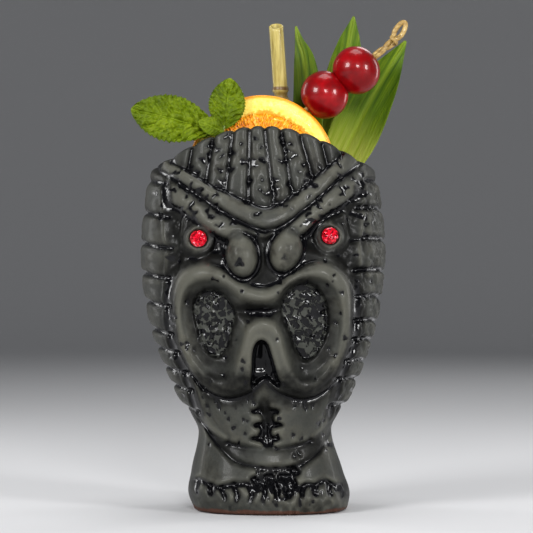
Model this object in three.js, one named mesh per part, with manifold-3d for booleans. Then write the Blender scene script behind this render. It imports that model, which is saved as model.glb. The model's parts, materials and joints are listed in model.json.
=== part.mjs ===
// A stoneware tiki mug, carved as a head over a squat body, with two crystal eyes glued into seats,
// and the garnish that stands in it: a bamboo straw, an orange wheel and two cherries on a knotted
// pick, three pineapple leaves and a sprig of mint. Millimetres, +Z up, the face looks along -Y, and
// the origin is the middle of the flat foot.
import * as THREE from "three";
import { mergeVertices } from "three/addons/utils/BufferGeometryUtils.js";
import Module from "manifold-3d";

const wasm = await Module();
wasm.setup();

// ---------------------------------------------------------------- driving dimensions
const MUG_HEIGHT = 165; // foot to the top of the forehead
const HEAD_WIDTH = 105.6; // over the braids at the temples
const HEAD_DEPTH = 82; // back of the head to the deepest carving of the face
const WALL = 4.2; // wall behind the deepest carving
const FLOOR = 8; // thickness of the bottom
const HEAD_LEAN = -3.5; // the head sits a little to one side of the foot
const CLEARANCE = 0.3; // between pieces that touch

const CRYSTAL_RADIUS = 3.6;
const CRYSTAL_CROWN = 1.3; // girdle to table
const CRYSTAL_PAVILION = 1.2; // girdle to flat back
const ADHESIVE_THICKNESS = 0.5;

const STRAW_RADIUS = 3.1;
const STRAW_BORE_RADIUS = 2.1;
const STRAW_LENGTH = 203;

const ORANGE_RADIUS = 31.5;
const ORANGE_THICKNESS = 6.5;
const ORANGE_PULP_RADIUS = 22.8;
const PICK_RADIUS = 1.2;
const PICK_LENGTH = 120;
const CHERRY_RADIUS = 10.4;
const CHERRY_HALF_LENGTH = 8.7; // along the pick, which squeezes the pair together

const LEAF_THICKNESS = 1.5; // pineapple
const MINT_THICKNESS = 1.0;
const STEM_RADIUS = 1.3;

// ---------------------------------------------------------------- small helpers
const { PI, abs, cos, exp, hypot, max, min, sign, sin, sqrt } = Math;
const point = (x, y, z) => new THREE.Vector3(x, y, z);
const mix = (a, b, t) => a + (b - a) * t;
const clamp = (t) => min(1, max(0, t));
const smooth = (low, high, value) => {
  const t = clamp((value - low) / (high - low));
  return t * t * (3 - 2 * t);
};

// A smooth curve through stations [at, a, b, ...]: the values of every column at one place.
function along(stations, at) {
  const last = stations.length - 1;
  const x = min(stations[last][0], max(stations[0][0], at));
  let i = 0;
  while (i < last - 1 && stations[i + 1][0] < x) i += 1;
  const [p, q] = [stations[i], stations[i + 1]];
  const before = stations[max(0, i - 1)];
  const after = stations[min(last, i + 2)];
  const span = q[0] - p[0];
  const t = (x - p[0]) / span;
  return p.slice(1).map((value, k) => {
    const c = k + 1;
    const slopeIn = ((q[c] - before[c]) / (q[0] - before[0])) * span;
    const slopeOut = ((after[c] - p[c]) / (after[0] - p[0])) * span;
    return (
      value * (1 + 2 * t) * (1 - t) ** 2 +
      slopeIn * t * (1 - t) ** 2 +
      q[c] * t * t * (3 - 2 * t) +
      slopeOut * t * t * (t - 1)
    );
  });
}

// A closed skin over rings of points, each end closed by a fan to its own middle point.
function skin(rings, firstMiddle, lastMiddle) {
  const around = rings[0].length;
  const points = [...rings.flat(), firstMiddle, lastMiddle];
  const index = [];
  const [first, last] = [points.length - 2, points.length - 1];
  const top = (rings.length - 1) * around;
  for (let j = 0; j < around; j += 1) {
    const k = (j + 1) % around;
    index.push(first, k, j, last, top + j, top + k);
    for (let i = 0; i + 1 < rings.length; i += 1) {
      const [a, b] = [i * around, (i + 1) * around];
      index.push(a + j, a + k, b + k, a + j, b + k, b + j);
    }
  }
  const geometry = new THREE.BufferGeometry().setFromPoints(points);
  geometry.setIndex(index);
  return geometry;
}

const middle = (ring) =>
  ring.reduce((sum, p) => sum.add(p), point(0, 0, 0)).divideScalar(ring.length);

// A three.js geometry as a manifold solid, and back.
function solid(geometry, matrix = new THREE.Matrix4()) {
  const bare = geometry.clone();
  bare.deleteAttribute("normal");
  bare.deleteAttribute("uv");
  const merged = mergeVertices(bare.applyMatrix4(matrix), 1e-4);
  return new wasm.Manifold(
    new wasm.Mesh({
      numProp: 3,
      vertProperties: merged.attributes.position.array,
      triVerts: new Uint32Array(merged.index.array),
    }),
  );
}

function geometryOf(manifold) {
  const mesh = manifold.getMesh();
  const geometry = new THREE.BufferGeometry();
  geometry.setAttribute(
    "position",
    new THREE.BufferAttribute(mesh.vertProperties, 3),
  );
  geometry.setIndex(new THREE.BufferAttribute(mesh.triVerts, 1));
  return geometry;
}

// The placing that carries +Y onto a direction, at a place.
const aim = (direction, at) =>
  new THREE.Matrix4().compose(
    at,
    new THREE.Quaternion().setFromUnitVectors(point(0, 1, 0), direction),
    point(1, 1, 1),
  );

// ---------------------------------------------------------------- the mug's plain form
// The head is drawn at this size and stretched to the driving one.
const DRAWN = { width: 105.6, height: 165, depth: 82 };
const WIDE = HEAD_WIDTH / DRAWN.width;
const TALL = MUG_HEIGHT / DRAWN.height;
const DEEP = HEAD_DEPTH / DRAWN.depth;

// Height, half width, depth in front and depth behind, under the carving.
const FORM = [
  [0, 33.5, 32, 30],
  [6, 35.3, 34, 32],
  [16, 33.2, 32, 31],
  [37, 29.3, 28.5, 27.5],
  [52, 36, 33, 33],
  [70, 43.3, 37.5, 37.5],
  [90, 48.3, 39.5, 40],
  [113, 50.2, 40, 42],
  [132, 48.6, 38, 41],
  [150, 46, 35, 39],
  [166, 44, 33, 37],
];
const SQUARENESS = 2.3; // 2 is an ellipse, more is squarer
const RIM_SIDE = 148;
const RIM_CREST = 17; // how far the forehead rises over the sides
const RIM_BACK = 2;

// What stands in the mug is placed on the drawn head's inside, and follows the real one's.
const DRAWN_WALL = 4.2;
const INSIDE_WIDE = (HEAD_WIDTH - 2 * WALL) / (DRAWN.width - 2 * DRAWN_WALL);
const INSIDE_DEEP = (HEAD_DEPTH - 2 * WALL) / (DRAWN.depth - 2 * DRAWN_WALL);
const inMug = (x, y, z) => point(x * INSIDE_WIDE, y * INSIDE_DEEP, z);

const lean = (z) => HEAD_LEAN * (1 - exp(-z / (25 * TALL)));

// A plan direction on the squared ellipse: 0 at +X, a quarter turn at the back.
function planOf(angle) {
  const power = 2 / SQUARENESS;
  const across = sign(cos(angle)) * abs(cos(angle)) ** power;
  const back = sign(sin(angle)) * abs(sin(angle)) ** power;
  return [across, back];
}

// The rim's height in a plan direction: it arches up over the forehead.
function rimHeight(angle) {
  const [across, back] = planOf(angle);
  const arch = 1 - across * across;
  return TALL * (RIM_SIDE + arch * (back < 0 ? RIM_CREST : RIM_BACK));
}

// A point of the plain form, moved in by a wall.
function formPoint(angle, z, inset) {
  const [halfWidth, front, rear] = along(FORM, z / TALL);
  const [across, back] = planOf(angle);
  const depth = (back < 0 ? front : rear) * DEEP - inset;
  return point(
    lean(z) + across * (halfWidth * WIDE - inset),
    back * depth,
    z,
  );
}

// ---------------------------------------------------------------- the carving
// Every line of the face is drawn over u, across the face, and v, up it, on the drawn head.
const vee = (u, left, right, round) =>
  (u < 0 ? left : right) * (sqrt(u * u + round * round) - round);
const hairLine = (u) => 130.2 + vee(u, 0.58, 0.8, 6);
const bandLine = (u) => 119.8 + vee(u, 0.67, 0.8, 5);
const browLine = (u) => 106 + vee(u, 0.7, 0.83, 2);

const EYES = { left: { u: -27.3, v: 117.2 }, right: { u: 28.5, v: 118.4 } };
const NOSTRILS = [
  { u: -9.7, v: 109.8, across: 7.4, up: 10.4 },
  { u: 9.9, v: 111.8, across: 7.6, up: 9.8 },
];
const PITS = [
  { u: -21.8, v: 81, across: 9, up: 14 },
  { u: 18, v: 81.6, across: 10, up: 16.4 },
  { u: 0.4, v: 85.2, across: 11, up: 1.8 }, // the slit that joins the two
];

// The crest of the lips: one loop round both halves of the mouth, under the nose.
const LIP_CREST = new THREE.CatmullRomCurve3(
  [
    [0, 91.8], [11.5, 98.5], [22, 101.3], [31, 98], [36, 88], [36.5, 75],
    [31, 61], [20.5, 53], [12, 55.5], [6.5, 68], [0, 79.8], [-5.5, 70],
    [-9.5, 59], [-17, 52.5], [-26, 56], [-35, 69], [-37.5, 83],
    [-34, 96.5], [-25, 99.5], [-12, 95],
  ].map(([u, v]) => point(u, v, 0)),
  true,
).getPoints(90);

// How far a place lies outside the loop; negative within it.
function outsideLips(u, v) {
  let nearest = Infinity;
  let within = false;
  for (let i = 0; i + 1 < LIP_CREST.length; i += 1) {
    const [p, q] = [LIP_CREST[i], LIP_CREST[i + 1]];
    const [dx, dy] = [q.x - p.x, q.y - p.y];
    const t = clamp(((u - p.x) * dx + (v - p.y) * dy) / (dx * dx + dy * dy));
    nearest = min(nearest, hypot(u - p.x - t * dx, v - p.y - t * dy));
    const crosses = p.y > v !== q.y > v;
    if (crosses && u < p.x + ((v - p.y) / dy) * dx) within = !within;
  }
  return within ? -nearest : nearest;
}

const ellipse = ({ u, v, across, up }, atU, atV) =>
  hypot((atU - u) / across, (atV - v) / up);

const LIP_HEIGHT = 9.5;
const bellyLine = (u) => 17.7 + 0.02 * u * u;

// How far the carving stands over the plain form, on the front of the mug.
function faceRelief(u, v) {
  let h = 3.4;
  // two bands run down from the temples to the bridge of the nose, and the eyes lie under them
  const band = smooth(-0.8, 0.8, hairLine(u) - v);
  h = mix(h, 5, band * smooth(-0.8, 0.8, v - bandLine(u)));
  const brow = smooth(-0.8, 0.8, bandLine(u) - v) * smooth(-1, 1, v - browLine(u));
  h = mix(h, 6.6, brow);
  const under = smooth(-1, 2, browLine(u) - v) * smooth(94, 100, v);
  h = mix(h, 1.2 + 4 * smooth(114, 104, v), under);
  const eye = min(...Object.values(EYES).map((place) => hypot(u - place.u, v - place.v)));
  h = mix(h, 3.2, smooth(CRYSTAL_RADIUS + 3.6, CRYSTAL_RADIUS + 2, eye));
  // the lips: a round crest, a bowl sloping in to two pits, and a slit between them
  const out = outsideLips(u, v);
  if (out > 0) {
    h = mix(h, LIP_HEIGHT, smooth(6.5, 1, out));
  } else {
    const gap = min(...PITS.map((pit) => (ellipse(pit, u, v) - 1) * pit.up * 0.7));
    const slope = -out / max(0.1, -out + max(0, gap));
    h = mix(LIP_HEIGHT, 2.4, smooth(0.1, 1, slope));
    h = mix(h, 0.6, smooth(0.3, -1.4, gap));
  }
  for (const nostril of NOSTRILS) {
    const r = ellipse(nostril, u, v);
    if (r < 1) h = max(h, 4.5 + 8 * sqrt(1 - r * r));
  }
  // the hollow under the lower lip
  const hollow = ellipse({ u: 0.4, v: 60.5, across: 4.6, up: 11.5 }, u, v);
  h = mix(h, 2, smooth(1.15, 0.85, hollow) * smooth(52, 56, v));
  // hands folded on the belly, with the legs on either side and the feet in front
  const body = smooth(54, 49, v) * smooth(0, 5, out);
  const belly = smooth(-1, 1, v - bellyLine(u)) * smooth(31, 27, abs(u));
  h = mix(h, mix(3, 5 + 3.5 * (1 - (u / 30) ** 2), belly), body);
  const legs = smooth(5, 10, abs(u)) * smooth(0, 4, bellyLine(u) - v);
  h = mix(h, 4.6, legs * body);
  return mix(h, 5.4, smooth(11.5, 9.5, v) * smooth(3, 6, abs(u)));
}

// The braids at the temples: a column of blocks down each side, narrowing to the neck.
const BRAID_TOP = 140;
const BRAID_FIRST = 13.4; // height of the uppermost block
const BRAID_SHRINK = 0.93; // each block to the one over it
const BRAID_RELIEF = 2.6;
const braidEdge = (v) => mix(14, 41, smooth(35, 105, v)) * (PI / 180);

function braidRelief(fromSide, v) {
  const left = 1 - ((BRAID_TOP - v) * (1 - BRAID_SHRINK)) / BRAID_FIRST;
  const count = v < BRAID_TOP ? Math.log(left) / Math.log(BRAID_SHRINK) : 0.5;
  const gap = abs(count - Math.round(count));
  const round = 0.55 + 0.45 * smooth(0.02, 0.2, gap);
  const edge = braidEdge(v);
  const column = smooth(-edge - 0.12, -edge, fromSide) * smooth(edge, edge - 0.1, fromSide);
  return BRAID_RELIEF * round * column * smooth(38, 44, v);
}

// A point of the carved surface.
function carvedPoint(angle, z) {
  const base = formPoint(angle, z, 0);
  const v = z / TALL;
  const u = (base.x - lean(z)) / WIDE;
  const right = cos(angle) >= 0;
  const fromSide = right ? -angleAbout(angle, 0) : angleAbout(angle, PI);
  const braid = braidRelief(fromSide, v);
  const outward = point(cos(angle) / WIDE, sin(angle) / DEEP, 0).normalize();
  const face = smooth(braidEdge(v) - 0.06, braidEdge(v) + 0.12, fromSide);
  const back = 0.8 * smooth(-braidEdge(v) - 0.1, -braidEdge(v) - 0.3, fromSide);
  base.addScaledVector(outward, braid + back);
  base.y -= faceRelief(u, v) * face;
  return base;
}

const angleAbout = (angle, centre) => {
  const turn = (angle - centre) % (2 * PI);
  return turn > PI ? turn - 2 * PI : turn < -PI ? turn + 2 * PI : turn;
};

// ---------------------------------------------------------------- mug_body
const COLUMNS_FRONT = 46;
const COLUMNS_BACK = 16;
const ROWS_OUTSIDE = 42;
const ROWS_INSIDE = 6;
const FOOT_EDGE = 1.2; // the rounding under the foot
const LIP_ROUND = 1.2; // the rounding of the rim

const ANGLES = [
  ...Array.from({ length: COLUMNS_FRONT }, (_, i) => PI + (PI * i) / COLUMNS_FRONT),
  ...Array.from({ length: COLUMNS_BACK }, (_, i) => (PI * i) / COLUMNS_BACK),
];

// The middle of an eye's flat disc, which looks straight ahead.
function eyePlace({ u, v }) {
  const z = v * TALL;
  const x = lean(z) + u * WIDE;
  const near = ANGLES.map((angle) => carvedPoint(angle, z)).filter(
    (p) => p.y < 0 && abs(p.x - x) < 2.5,
  );
  return point(x, min(...near.map((p) => p.y)), z);
}

function mugSolid() {
  const under = ANGLES.map((a) => {
    const p = carvedPoint(a, FOOT_EDGE);
    return point(p.x * 0.97, p.y * 0.97, 0);
  });
  const rings = [under];
  for (let i = 0; i <= ROWS_OUTSIDE; i += 1) {
    const t = i / ROWS_OUTSIDE;
    rings.push(
      ANGLES.map((a) => carvedPoint(a, mix(FOOT_EDGE, rimHeight(a) - LIP_ROUND, t))),
    );
  }
  rings.push(
    ANGLES.map((a) => {
      const z = rimHeight(a);
      const [outer, inner] = [carvedPoint(a, z - LIP_ROUND), formPoint(a, z, WALL)];
      return outer.lerp(inner, 0.3).setZ(z);
    }),
  );
  for (let i = 0; i <= ROWS_INSIDE; i += 1) {
    const t = i / ROWS_INSIDE;
    rings.push(
      ANGLES.map((a) => formPoint(a, mix(rimHeight(a) - LIP_ROUND, FLOOR + 3, t), WALL)),
    );
  }
  rings.push(ANGLES.map((a) => formPoint(a, FLOOR, WALL + 4)));
  let mug = solid(skin(rings, point(0, 0, 0), point(lean(FLOOR), 0, FLOOR)));
  for (const eye of Object.values(EYES)) {
    const depth = CRYSTAL_PAVILION + ADHESIVE_THICKNESS + 2 * CLEARANCE;
    const reach = 6; // the cutter runs well out of the face
    const radius = CRYSTAL_RADIUS + CLEARANCE;
    const cutter = new THREE.CylinderGeometry(radius, radius, depth + reach, 24);
    const at = eyePlace(eye);
    at.y += (depth - reach) / 2;
    mug = mug.subtract(solid(cutter, aim(point(0, 1, 0), at)));
  }
  return geometryOf(mug);
}

// ---------------------------------------------------------------- crystals
const FACETS = 8;

// A chaton: a table, a faceted crown, a girdle and a pavilion cut off flat behind.
function crystal() {
  const ring = (radius, y, turn) =>
    Array.from({ length: 2 * FACETS }, (_, i) => {
      const a = ((i + turn) * PI) / FACETS;
      return point(radius * cos(a), y, radius * sin(a));
    });
  const rings = [
    ring(CRYSTAL_RADIUS * 0.45, CRYSTAL_PAVILION, 0),
    ring(CRYSTAL_RADIUS, 0.15, 0),
    ring(CRYSTAL_RADIUS, -0.15, 0),
    ring(CRYSTAL_RADIUS * 0.78, -0.6 * CRYSTAL_CROWN, 0.5),
    ring(CRYSTAL_RADIUS * 0.5, -CRYSTAL_CROWN, 0),
  ];
  return skin(rings, middle(rings[0]), middle(rings[4]));
}

// ---------------------------------------------------------------- straw
const STRAW_TOP = inMug(2.2, -7.5, 0); // over the floor by the straw's own length
const STRAW_FOOT = inMug(16.5, 10, FLOOR + 1.2);
const NODE_FROM_TOP = 28.5; // the bamboo's joint
const NODE_SWELL = 0.9;

function strawAxis() {
  const across = STRAW_TOP.clone().sub(STRAW_FOOT).setZ(0);
  const rise = sqrt(STRAW_LENGTH ** 2 - across.lengthSq());
  return across.setZ(rise).normalize();
}

function straw() {
  const nodes = [NODE_FROM_TOP, NODE_FROM_TOP + 5].map((d) => STRAW_LENGTH - d);
  const outer = [[STRAW_RADIUS, 0]];
  for (const at of nodes.toReversed()) {
    outer.push([STRAW_RADIUS, at - 1.2], [STRAW_RADIUS + NODE_SWELL, at], [STRAW_RADIUS, at + 1.2]);
  }
  outer.push([STRAW_RADIUS, STRAW_LENGTH]);
  const inner = [[STRAW_BORE_RADIUS, STRAW_LENGTH], [STRAW_BORE_RADIUS, 0]];
  const profile = [...outer, ...inner, outer[0]];
  return new THREE.LatheGeometry(
    profile.map(([r, y]) => new THREE.Vector2(r, y)),
    16,
  );
}

// ---------------------------------------------------------------- orange wheel, cherries and pick
// The wheel, the cherries and the pick lie in one upright plane behind the forehead.
const WHEEL = inMug(-3.8, -14.5, MUG_HEIGHT - 17);
while (!wheelFits()) {
  WHEEL.z += 0.5;
}
const PICK_SLOPE = (38 * PI) / 180;
const PICK_DOWN = point(-cos(PICK_SLOPE), 0, -sin(PICK_SLOPE));
const PICK_OVER_WHEEL = 8.2; // the pick's line passes this far over the wheel's middle
const KNOT_LENGTH = 13;
const PICK_BARE = 1.6; // of the pick between the orange and the lower cherry
const PICK_HEAD = 19; // of the pick beyond the upper cherry

// Where the pick's line comes out of the wheel's edge, and what is strung on it from there up.
const PICK_NEAREST = WHEEL.clone().add(
  point(-PICK_DOWN.z, 0, PICK_DOWN.x).multiplyScalar(-PICK_OVER_WHEEL),
);
const CHORD = sqrt(ORANGE_RADIUS ** 2 - PICK_OVER_WHEEL ** 2);
const onPick = (up) => PICK_NEAREST.clone().addScaledVector(PICK_DOWN, -up);
const LOWER_CHERRY = CHORD + CHERRY_HALF_LENGTH + PICK_BARE;
const UPPER_CHERRY = LOWER_CHERRY + 2 * CHERRY_HALF_LENGTH + CLEARANCE;
const PICK_TOP = UPPER_CHERRY + CHERRY_HALF_LENGTH + PICK_HEAD;

const pickHole = () =>
  solid(
    new THREE.CylinderGeometry(PICK_RADIUS + CLEARANCE, PICK_RADIUS + CLEARANCE, 2 * PICK_LENGTH, 12),
    aim(PICK_DOWN, onPick(0)),
  );

// Whether the wheel's lower half clears the inside of the mug. A bigger orange sits higher in it.
function wheelFits() {
  const rim = ORANGE_RADIUS + 2 * CLEARANCE;
  const nearFace = abs(WHEEL.y) + ORANGE_THICKNESS / 2;
  return Array.from({ length: 60 }, (_, i) => PI + (PI * i) / 60).every((turn) => {
    const z = WHEEL.z + rim * sin(turn);
    if (z > TALL * (RIM_SIDE + RIM_CREST)) return true;
    const [halfWidth, front] = along(FORM, z / TALL);
    const inward = nearFace / (front * DEEP - WALL);
    const room = (1 - inward ** SQUARENESS) ** (1 / SQUARENESS) * (halfWidth * WIDE - WALL);
    return abs(WHEEL.x + rim * cos(turn) - lean(z)) < room;
  });
}

// A flat wheel facing the front, from an inner to an outer radius.
function wheel(outer, inner, segments) {
  const half = ORANGE_THICKNESS / 2;
  const profile = [
    [inner, -half], [outer - 0.8, -half], [outer, -half + 0.8],
    [outer, half - 0.8], [outer - 0.8, half], [inner, half],
  ];
  if (inner > 0) profile.push(profile[0]);
  const lathe = new THREE.LatheGeometry(
    profile.map(([r, y]) => new THREE.Vector2(r, y)),
    segments,
  );
  return geometryOf(solid(lathe, new THREE.Matrix4().setPosition(WHEEL)).subtract(pickHole()));
}

function cherry(up) {
  const ball = new THREE.SphereGeometry(1, 16, 10);
  ball.scale(CHERRY_RADIUS, CHERRY_HALF_LENGTH, CHERRY_RADIUS);
  return geometryOf(solid(ball, aim(PICK_DOWN, onPick(up))).subtract(pickHole()));
}

// The pick: a tapered bamboo skewer whose head is bent into a loop and tied.
function pick() {
  const shaftTop = PICK_TOP - KNOT_LENGTH + 2;
  const length = PICK_LENGTH - KNOT_LENGTH + 2;
  const shaft = new THREE.CylinderGeometry(0.5, PICK_RADIUS, length, 10);
  const loop = new THREE.TorusGeometry(2.1, 1.05, 8, 18);
  loop.scale(1, 2.1, 1);
  const tie = new THREE.SphereGeometry(2.3, 12, 8);
  tie.scale(1, 1.7, 0.9);
  const whole = solid(shaft, aim(PICK_DOWN, onPick(shaftTop - length / 2)))
    .add(solid(loop, aim(PICK_DOWN, onPick(PICK_TOP - 5.5))))
    .add(solid(tie, aim(PICK_DOWN, onPick(PICK_TOP - KNOT_LENGTH))));
  return geometryOf(whole);
}

// ---------------------------------------------------------------- pineapple leaves
// Stations up each leaf: height, x, y and half width. Heights by the rim follow the mug's height.
const ABOVE = MUG_HEIGHT - DRAWN.height;
const FOOT_Z = FLOOR + 2;
const LEAVES = {
  pineapple_leaf_left: [
    [FOOT_Z, -5, 9.5, 4.5], [70, 3, 9.5, 5.5], [130 + ABOVE, 12.5, 6.5, 6.5],
    [160 + ABOVE, 15.8, 5, 6.8], [180 + ABOVE, 16.2, 3.5, 6.3],
    [196 + ABOVE, 14.8, 2.5, 4.6], [205 + ABOVE, 12.4, 2, 1.9], [211 + ABOVE, 11, 1.6, 0.4],
  ],
  pineapple_leaf_middle: [
    [FOOT_Z, 1, 18, 4.5], [70, 8, 19, 6], [130 + ABOVE, 17, 18, 7.2],
    [165 + ABOVE, 25.5, 16.5, 8], [193 + ABOVE, 32.8, 15, 7.4],
    [205 + ABOVE, 35, 14, 5], [212 + ABOVE, 36.2, 13.5, 2.3], [216.5 + ABOVE, 36.9, 13, 0.4],
  ],
  pineapple_leaf_right: [
    [FOOT_Z, 5, 14, 4], [80, 13, 14, 5.5], [130 + ABOVE, 22.5, 12, 6.5],
    [146 + ABOVE, 27.5, 11, 7], [156 + ABOVE, 33, 10, 9.8], [165 + ABOVE, 37.2, 8.5, 11],
    [177 + ABOVE, 43, 6.5, 10.2], [190 + ABOVE, 50.5, 4, 7], [204.5 + ABOVE, 59.3, 1, 0.5],
  ],
};
const LEAF_ROWS = 16;
const LEAF_TROUGH = 0.22; // how deep the leaf is channelled, for its half width

// One level ring of a leaf: out along the front face and back along the rear one.
function leafRing(stations, z) {
  const [atX, atY, drawnHalf] = along(stations, z);
  const { x, y } = inMug(atX, atY, z);
  const half = drawnHalf * INSIDE_WIDE;
  const across = [-1, -0.5, 0, 0.5, 1];
  const face = (s, side) => {
    const thick = LEAF_THICKNESS * (1 - 0.6 * s * s) * min(1, 0.3 + half / 5);
    const dish = -LEAF_TROUGH * half * s * s;
    return point(x + s * half, y + dish + (side * thick) / 2, z);
  };
  return [...across.map((s) => face(s, -1)), ...across.toReversed().map((s) => face(s, 1))];
}

function pineappleLeaf(stations) {
  const [low, high] = [stations[0][0], stations.at(-1)[0]];
  const rings = Array.from({ length: LEAF_ROWS + 1 }, (_, i) =>
    leafRing(stations, mix(low, high, i / LEAF_ROWS)),
  );
  return skin(rings, middle(rings[0]), middle(rings.at(-1)));
}

// ---------------------------------------------------------------- mint
const STEM_FOOT = inMug(-14, -17, FLOOR + 2);
const STEM_TOP = inMug(-21, -22.4, MUG_HEIGHT - 2);

function mintStem() {
  const length = STEM_FOOT.distanceTo(STEM_TOP);
  const stem = new THREE.CylinderGeometry(0.8 * STEM_RADIUS, STEM_RADIUS, length, 10, 6);
  const direction = STEM_TOP.clone().sub(STEM_FOOT).normalize();
  return geometryOf(solid(stem, aim(direction, STEM_FOOT.clone().lerp(STEM_TOP, 0.5))));
}

// Each leaf: where it joins the sprig, its tip, the direction across it, half its width and its arch.
const CROWN = MUG_HEIGHT;
const MINT_LEAVES = {
  mint_leaf_left: {
    base: [-22.8, -22.6, CROWN - 1.4], tip: [-60.2, -22.5, CROWN + 8],
    across: [0, -0.12, -1], half: 10.6, arch: 3,
  },
  mint_leaf_upright: {
    base: [-20.2, -21.9, CROWN - 0.4], tip: [-17.6, -20.6, CROWN + 21.5],
    across: [1, 0.02, 0.1], half: 8.2, arch: 0.6,
  },
  mint_leaf_front: {
    base: [-20.4, -24.6, CROWN - 1.8], tip: [-31, -28.4, CROWN + 2.5],
    across: [-0.3, -0.2, -1], half: 4.2, arch: 0.8,
  },
  mint_leaf_inner: {
    base: [-18.6, -22.6, CROWN - 8], tip: [-4, -24, CROWN - 9],
    across: [0.1, -0.1, -1], half: 4.6, arch: 1,
  },
};
const PETIOLE = 0.7; // half the width of a leaf at its root and its tip

function mintLeaf({ base, tip, across, half, arch }) {
  const [from, to] = [inMug(...base), inMug(...tip)];
  const forward = to.clone().sub(from).normalize();
  const side = point(...across).addScaledVector(forward, -forward.dot(point(...across))).normalize();
  const up = side.clone().cross(forward);
  const rows = 9;
  const rings = Array.from({ length: rows + 1 }, (_, i) => {
    const t = i / rows;
    const wide = max(PETIOLE, half * INSIDE_WIDE * sin(PI * min(1, t) ** 0.9) ** 0.8);
    const spine = from.clone().lerp(to, t).addScaledVector(up, 4 * arch * t * (1 - t));
    const face = (s, way) => {
      const thick = MINT_THICKNESS * (1 - 0.5 * s * s);
      return spine.clone().addScaledVector(side, s * wide).addScaledVector(up, (way * thick) / 2);
    };
    const steps = [-1, -0.4, 0.4, 1];
    return [...steps.map((s) => face(s, 1)), ...steps.toReversed().map((s) => face(s, -1))];
  });
  return skin(rings, middle(rings[0]), middle(rings[rows]));
}

// ---------------------------------------------------------------- assembly
const FINISH = {
  stoneware: { color: 0x55554f, roughness: 0.42, metalness: 0 },
  crystal: { color: 0xd61430, roughness: 0.05, metalness: 0.3 },
  adhesive: { color: 0xd9d4c4, roughness: 0.5, metalness: 0 },
  bamboo: { color: 0xb9a85a, roughness: 0.55, metalness: 0 },
  peel: { color: 0xf0b030, roughness: 0.5, metalness: 0 },
  pulp: { color: 0xd9890c, roughness: 0.25, metalness: 0 },
  cherry: { color: 0x96060c, roughness: 0.08, metalness: 0 },
  leaf: { color: 0x65700f, roughness: 0.4, metalness: 0 },
  mint: { color: 0x5c7008, roughness: 0.6, metalness: 0 },
};

const tikiMug = new THREE.Group();

function add(name, geometry, finish) {
  const mesh = new THREE.Mesh(geometry, new THREE.MeshStandardMaterial(FINISH[finish]));
  mesh.name = name;
  tikiMug.add(mesh);
  return mesh;
}

add("mug_body", mugSolid(), "stoneware");
for (const [label, eye] of Object.entries(EYES)) {
  const seat = eyePlace(eye);
  add(`${label}_eye_crystal`, crystal(), "crystal").position.copy(seat);
  const padRadius = 0.8 * CRYSTAL_RADIUS;
  const pad = new THREE.CylinderGeometry(padRadius, padRadius, ADHESIVE_THICKNESS, 20);
  const behind = CRYSTAL_PAVILION + CLEARANCE + ADHESIVE_THICKNESS / 2;
  add(`${label}_eye_adhesive`, pad, "adhesive").position.copy(seat).add(point(0, behind, 0));
}
const strawMesh = add("bamboo_straw", straw(), "bamboo");
strawMesh.position.copy(STRAW_FOOT);
strawMesh.quaternion.setFromUnitVectors(point(0, 1, 0), strawAxis());
add("orange_peel", wheel(ORANGE_RADIUS, ORANGE_PULP_RADIUS + CLEARANCE, 40), "peel");
add("orange_pulp", wheel(ORANGE_PULP_RADIUS, 0, 32), "pulp");
add("lower_cherry", cherry(LOWER_CHERRY), "cherry");
add("upper_cherry", cherry(UPPER_CHERRY), "cherry");
add("knotted_pick", pick(), "bamboo");
for (const [name, stations] of Object.entries(LEAVES)) {
  add(name, pineappleLeaf(stations), "leaf");
}
add("mint_stem", mintStem(), "mint");
for (const [name, leaf] of Object.entries(MINT_LEAVES)) {
  add(name, mintLeaf(leaf), "mint");
}

export default tikiMug;
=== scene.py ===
# %% [markdown]
# # A tiki mug with its garnish
# This lesson dresses a measured model of a tiki mug. The mug is slip-cast stoneware, carved in its
# mould as a head over a squat body, dipped in a charcoal glaze that runs off the high places and
# pools black in the low ones. A bamboo straw, an orange wheel and cherries on a pick, pineapple leaves
# and mint stand in it. The measured model fixes every size and place, and moves when it is posed.

import json
import math

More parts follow.
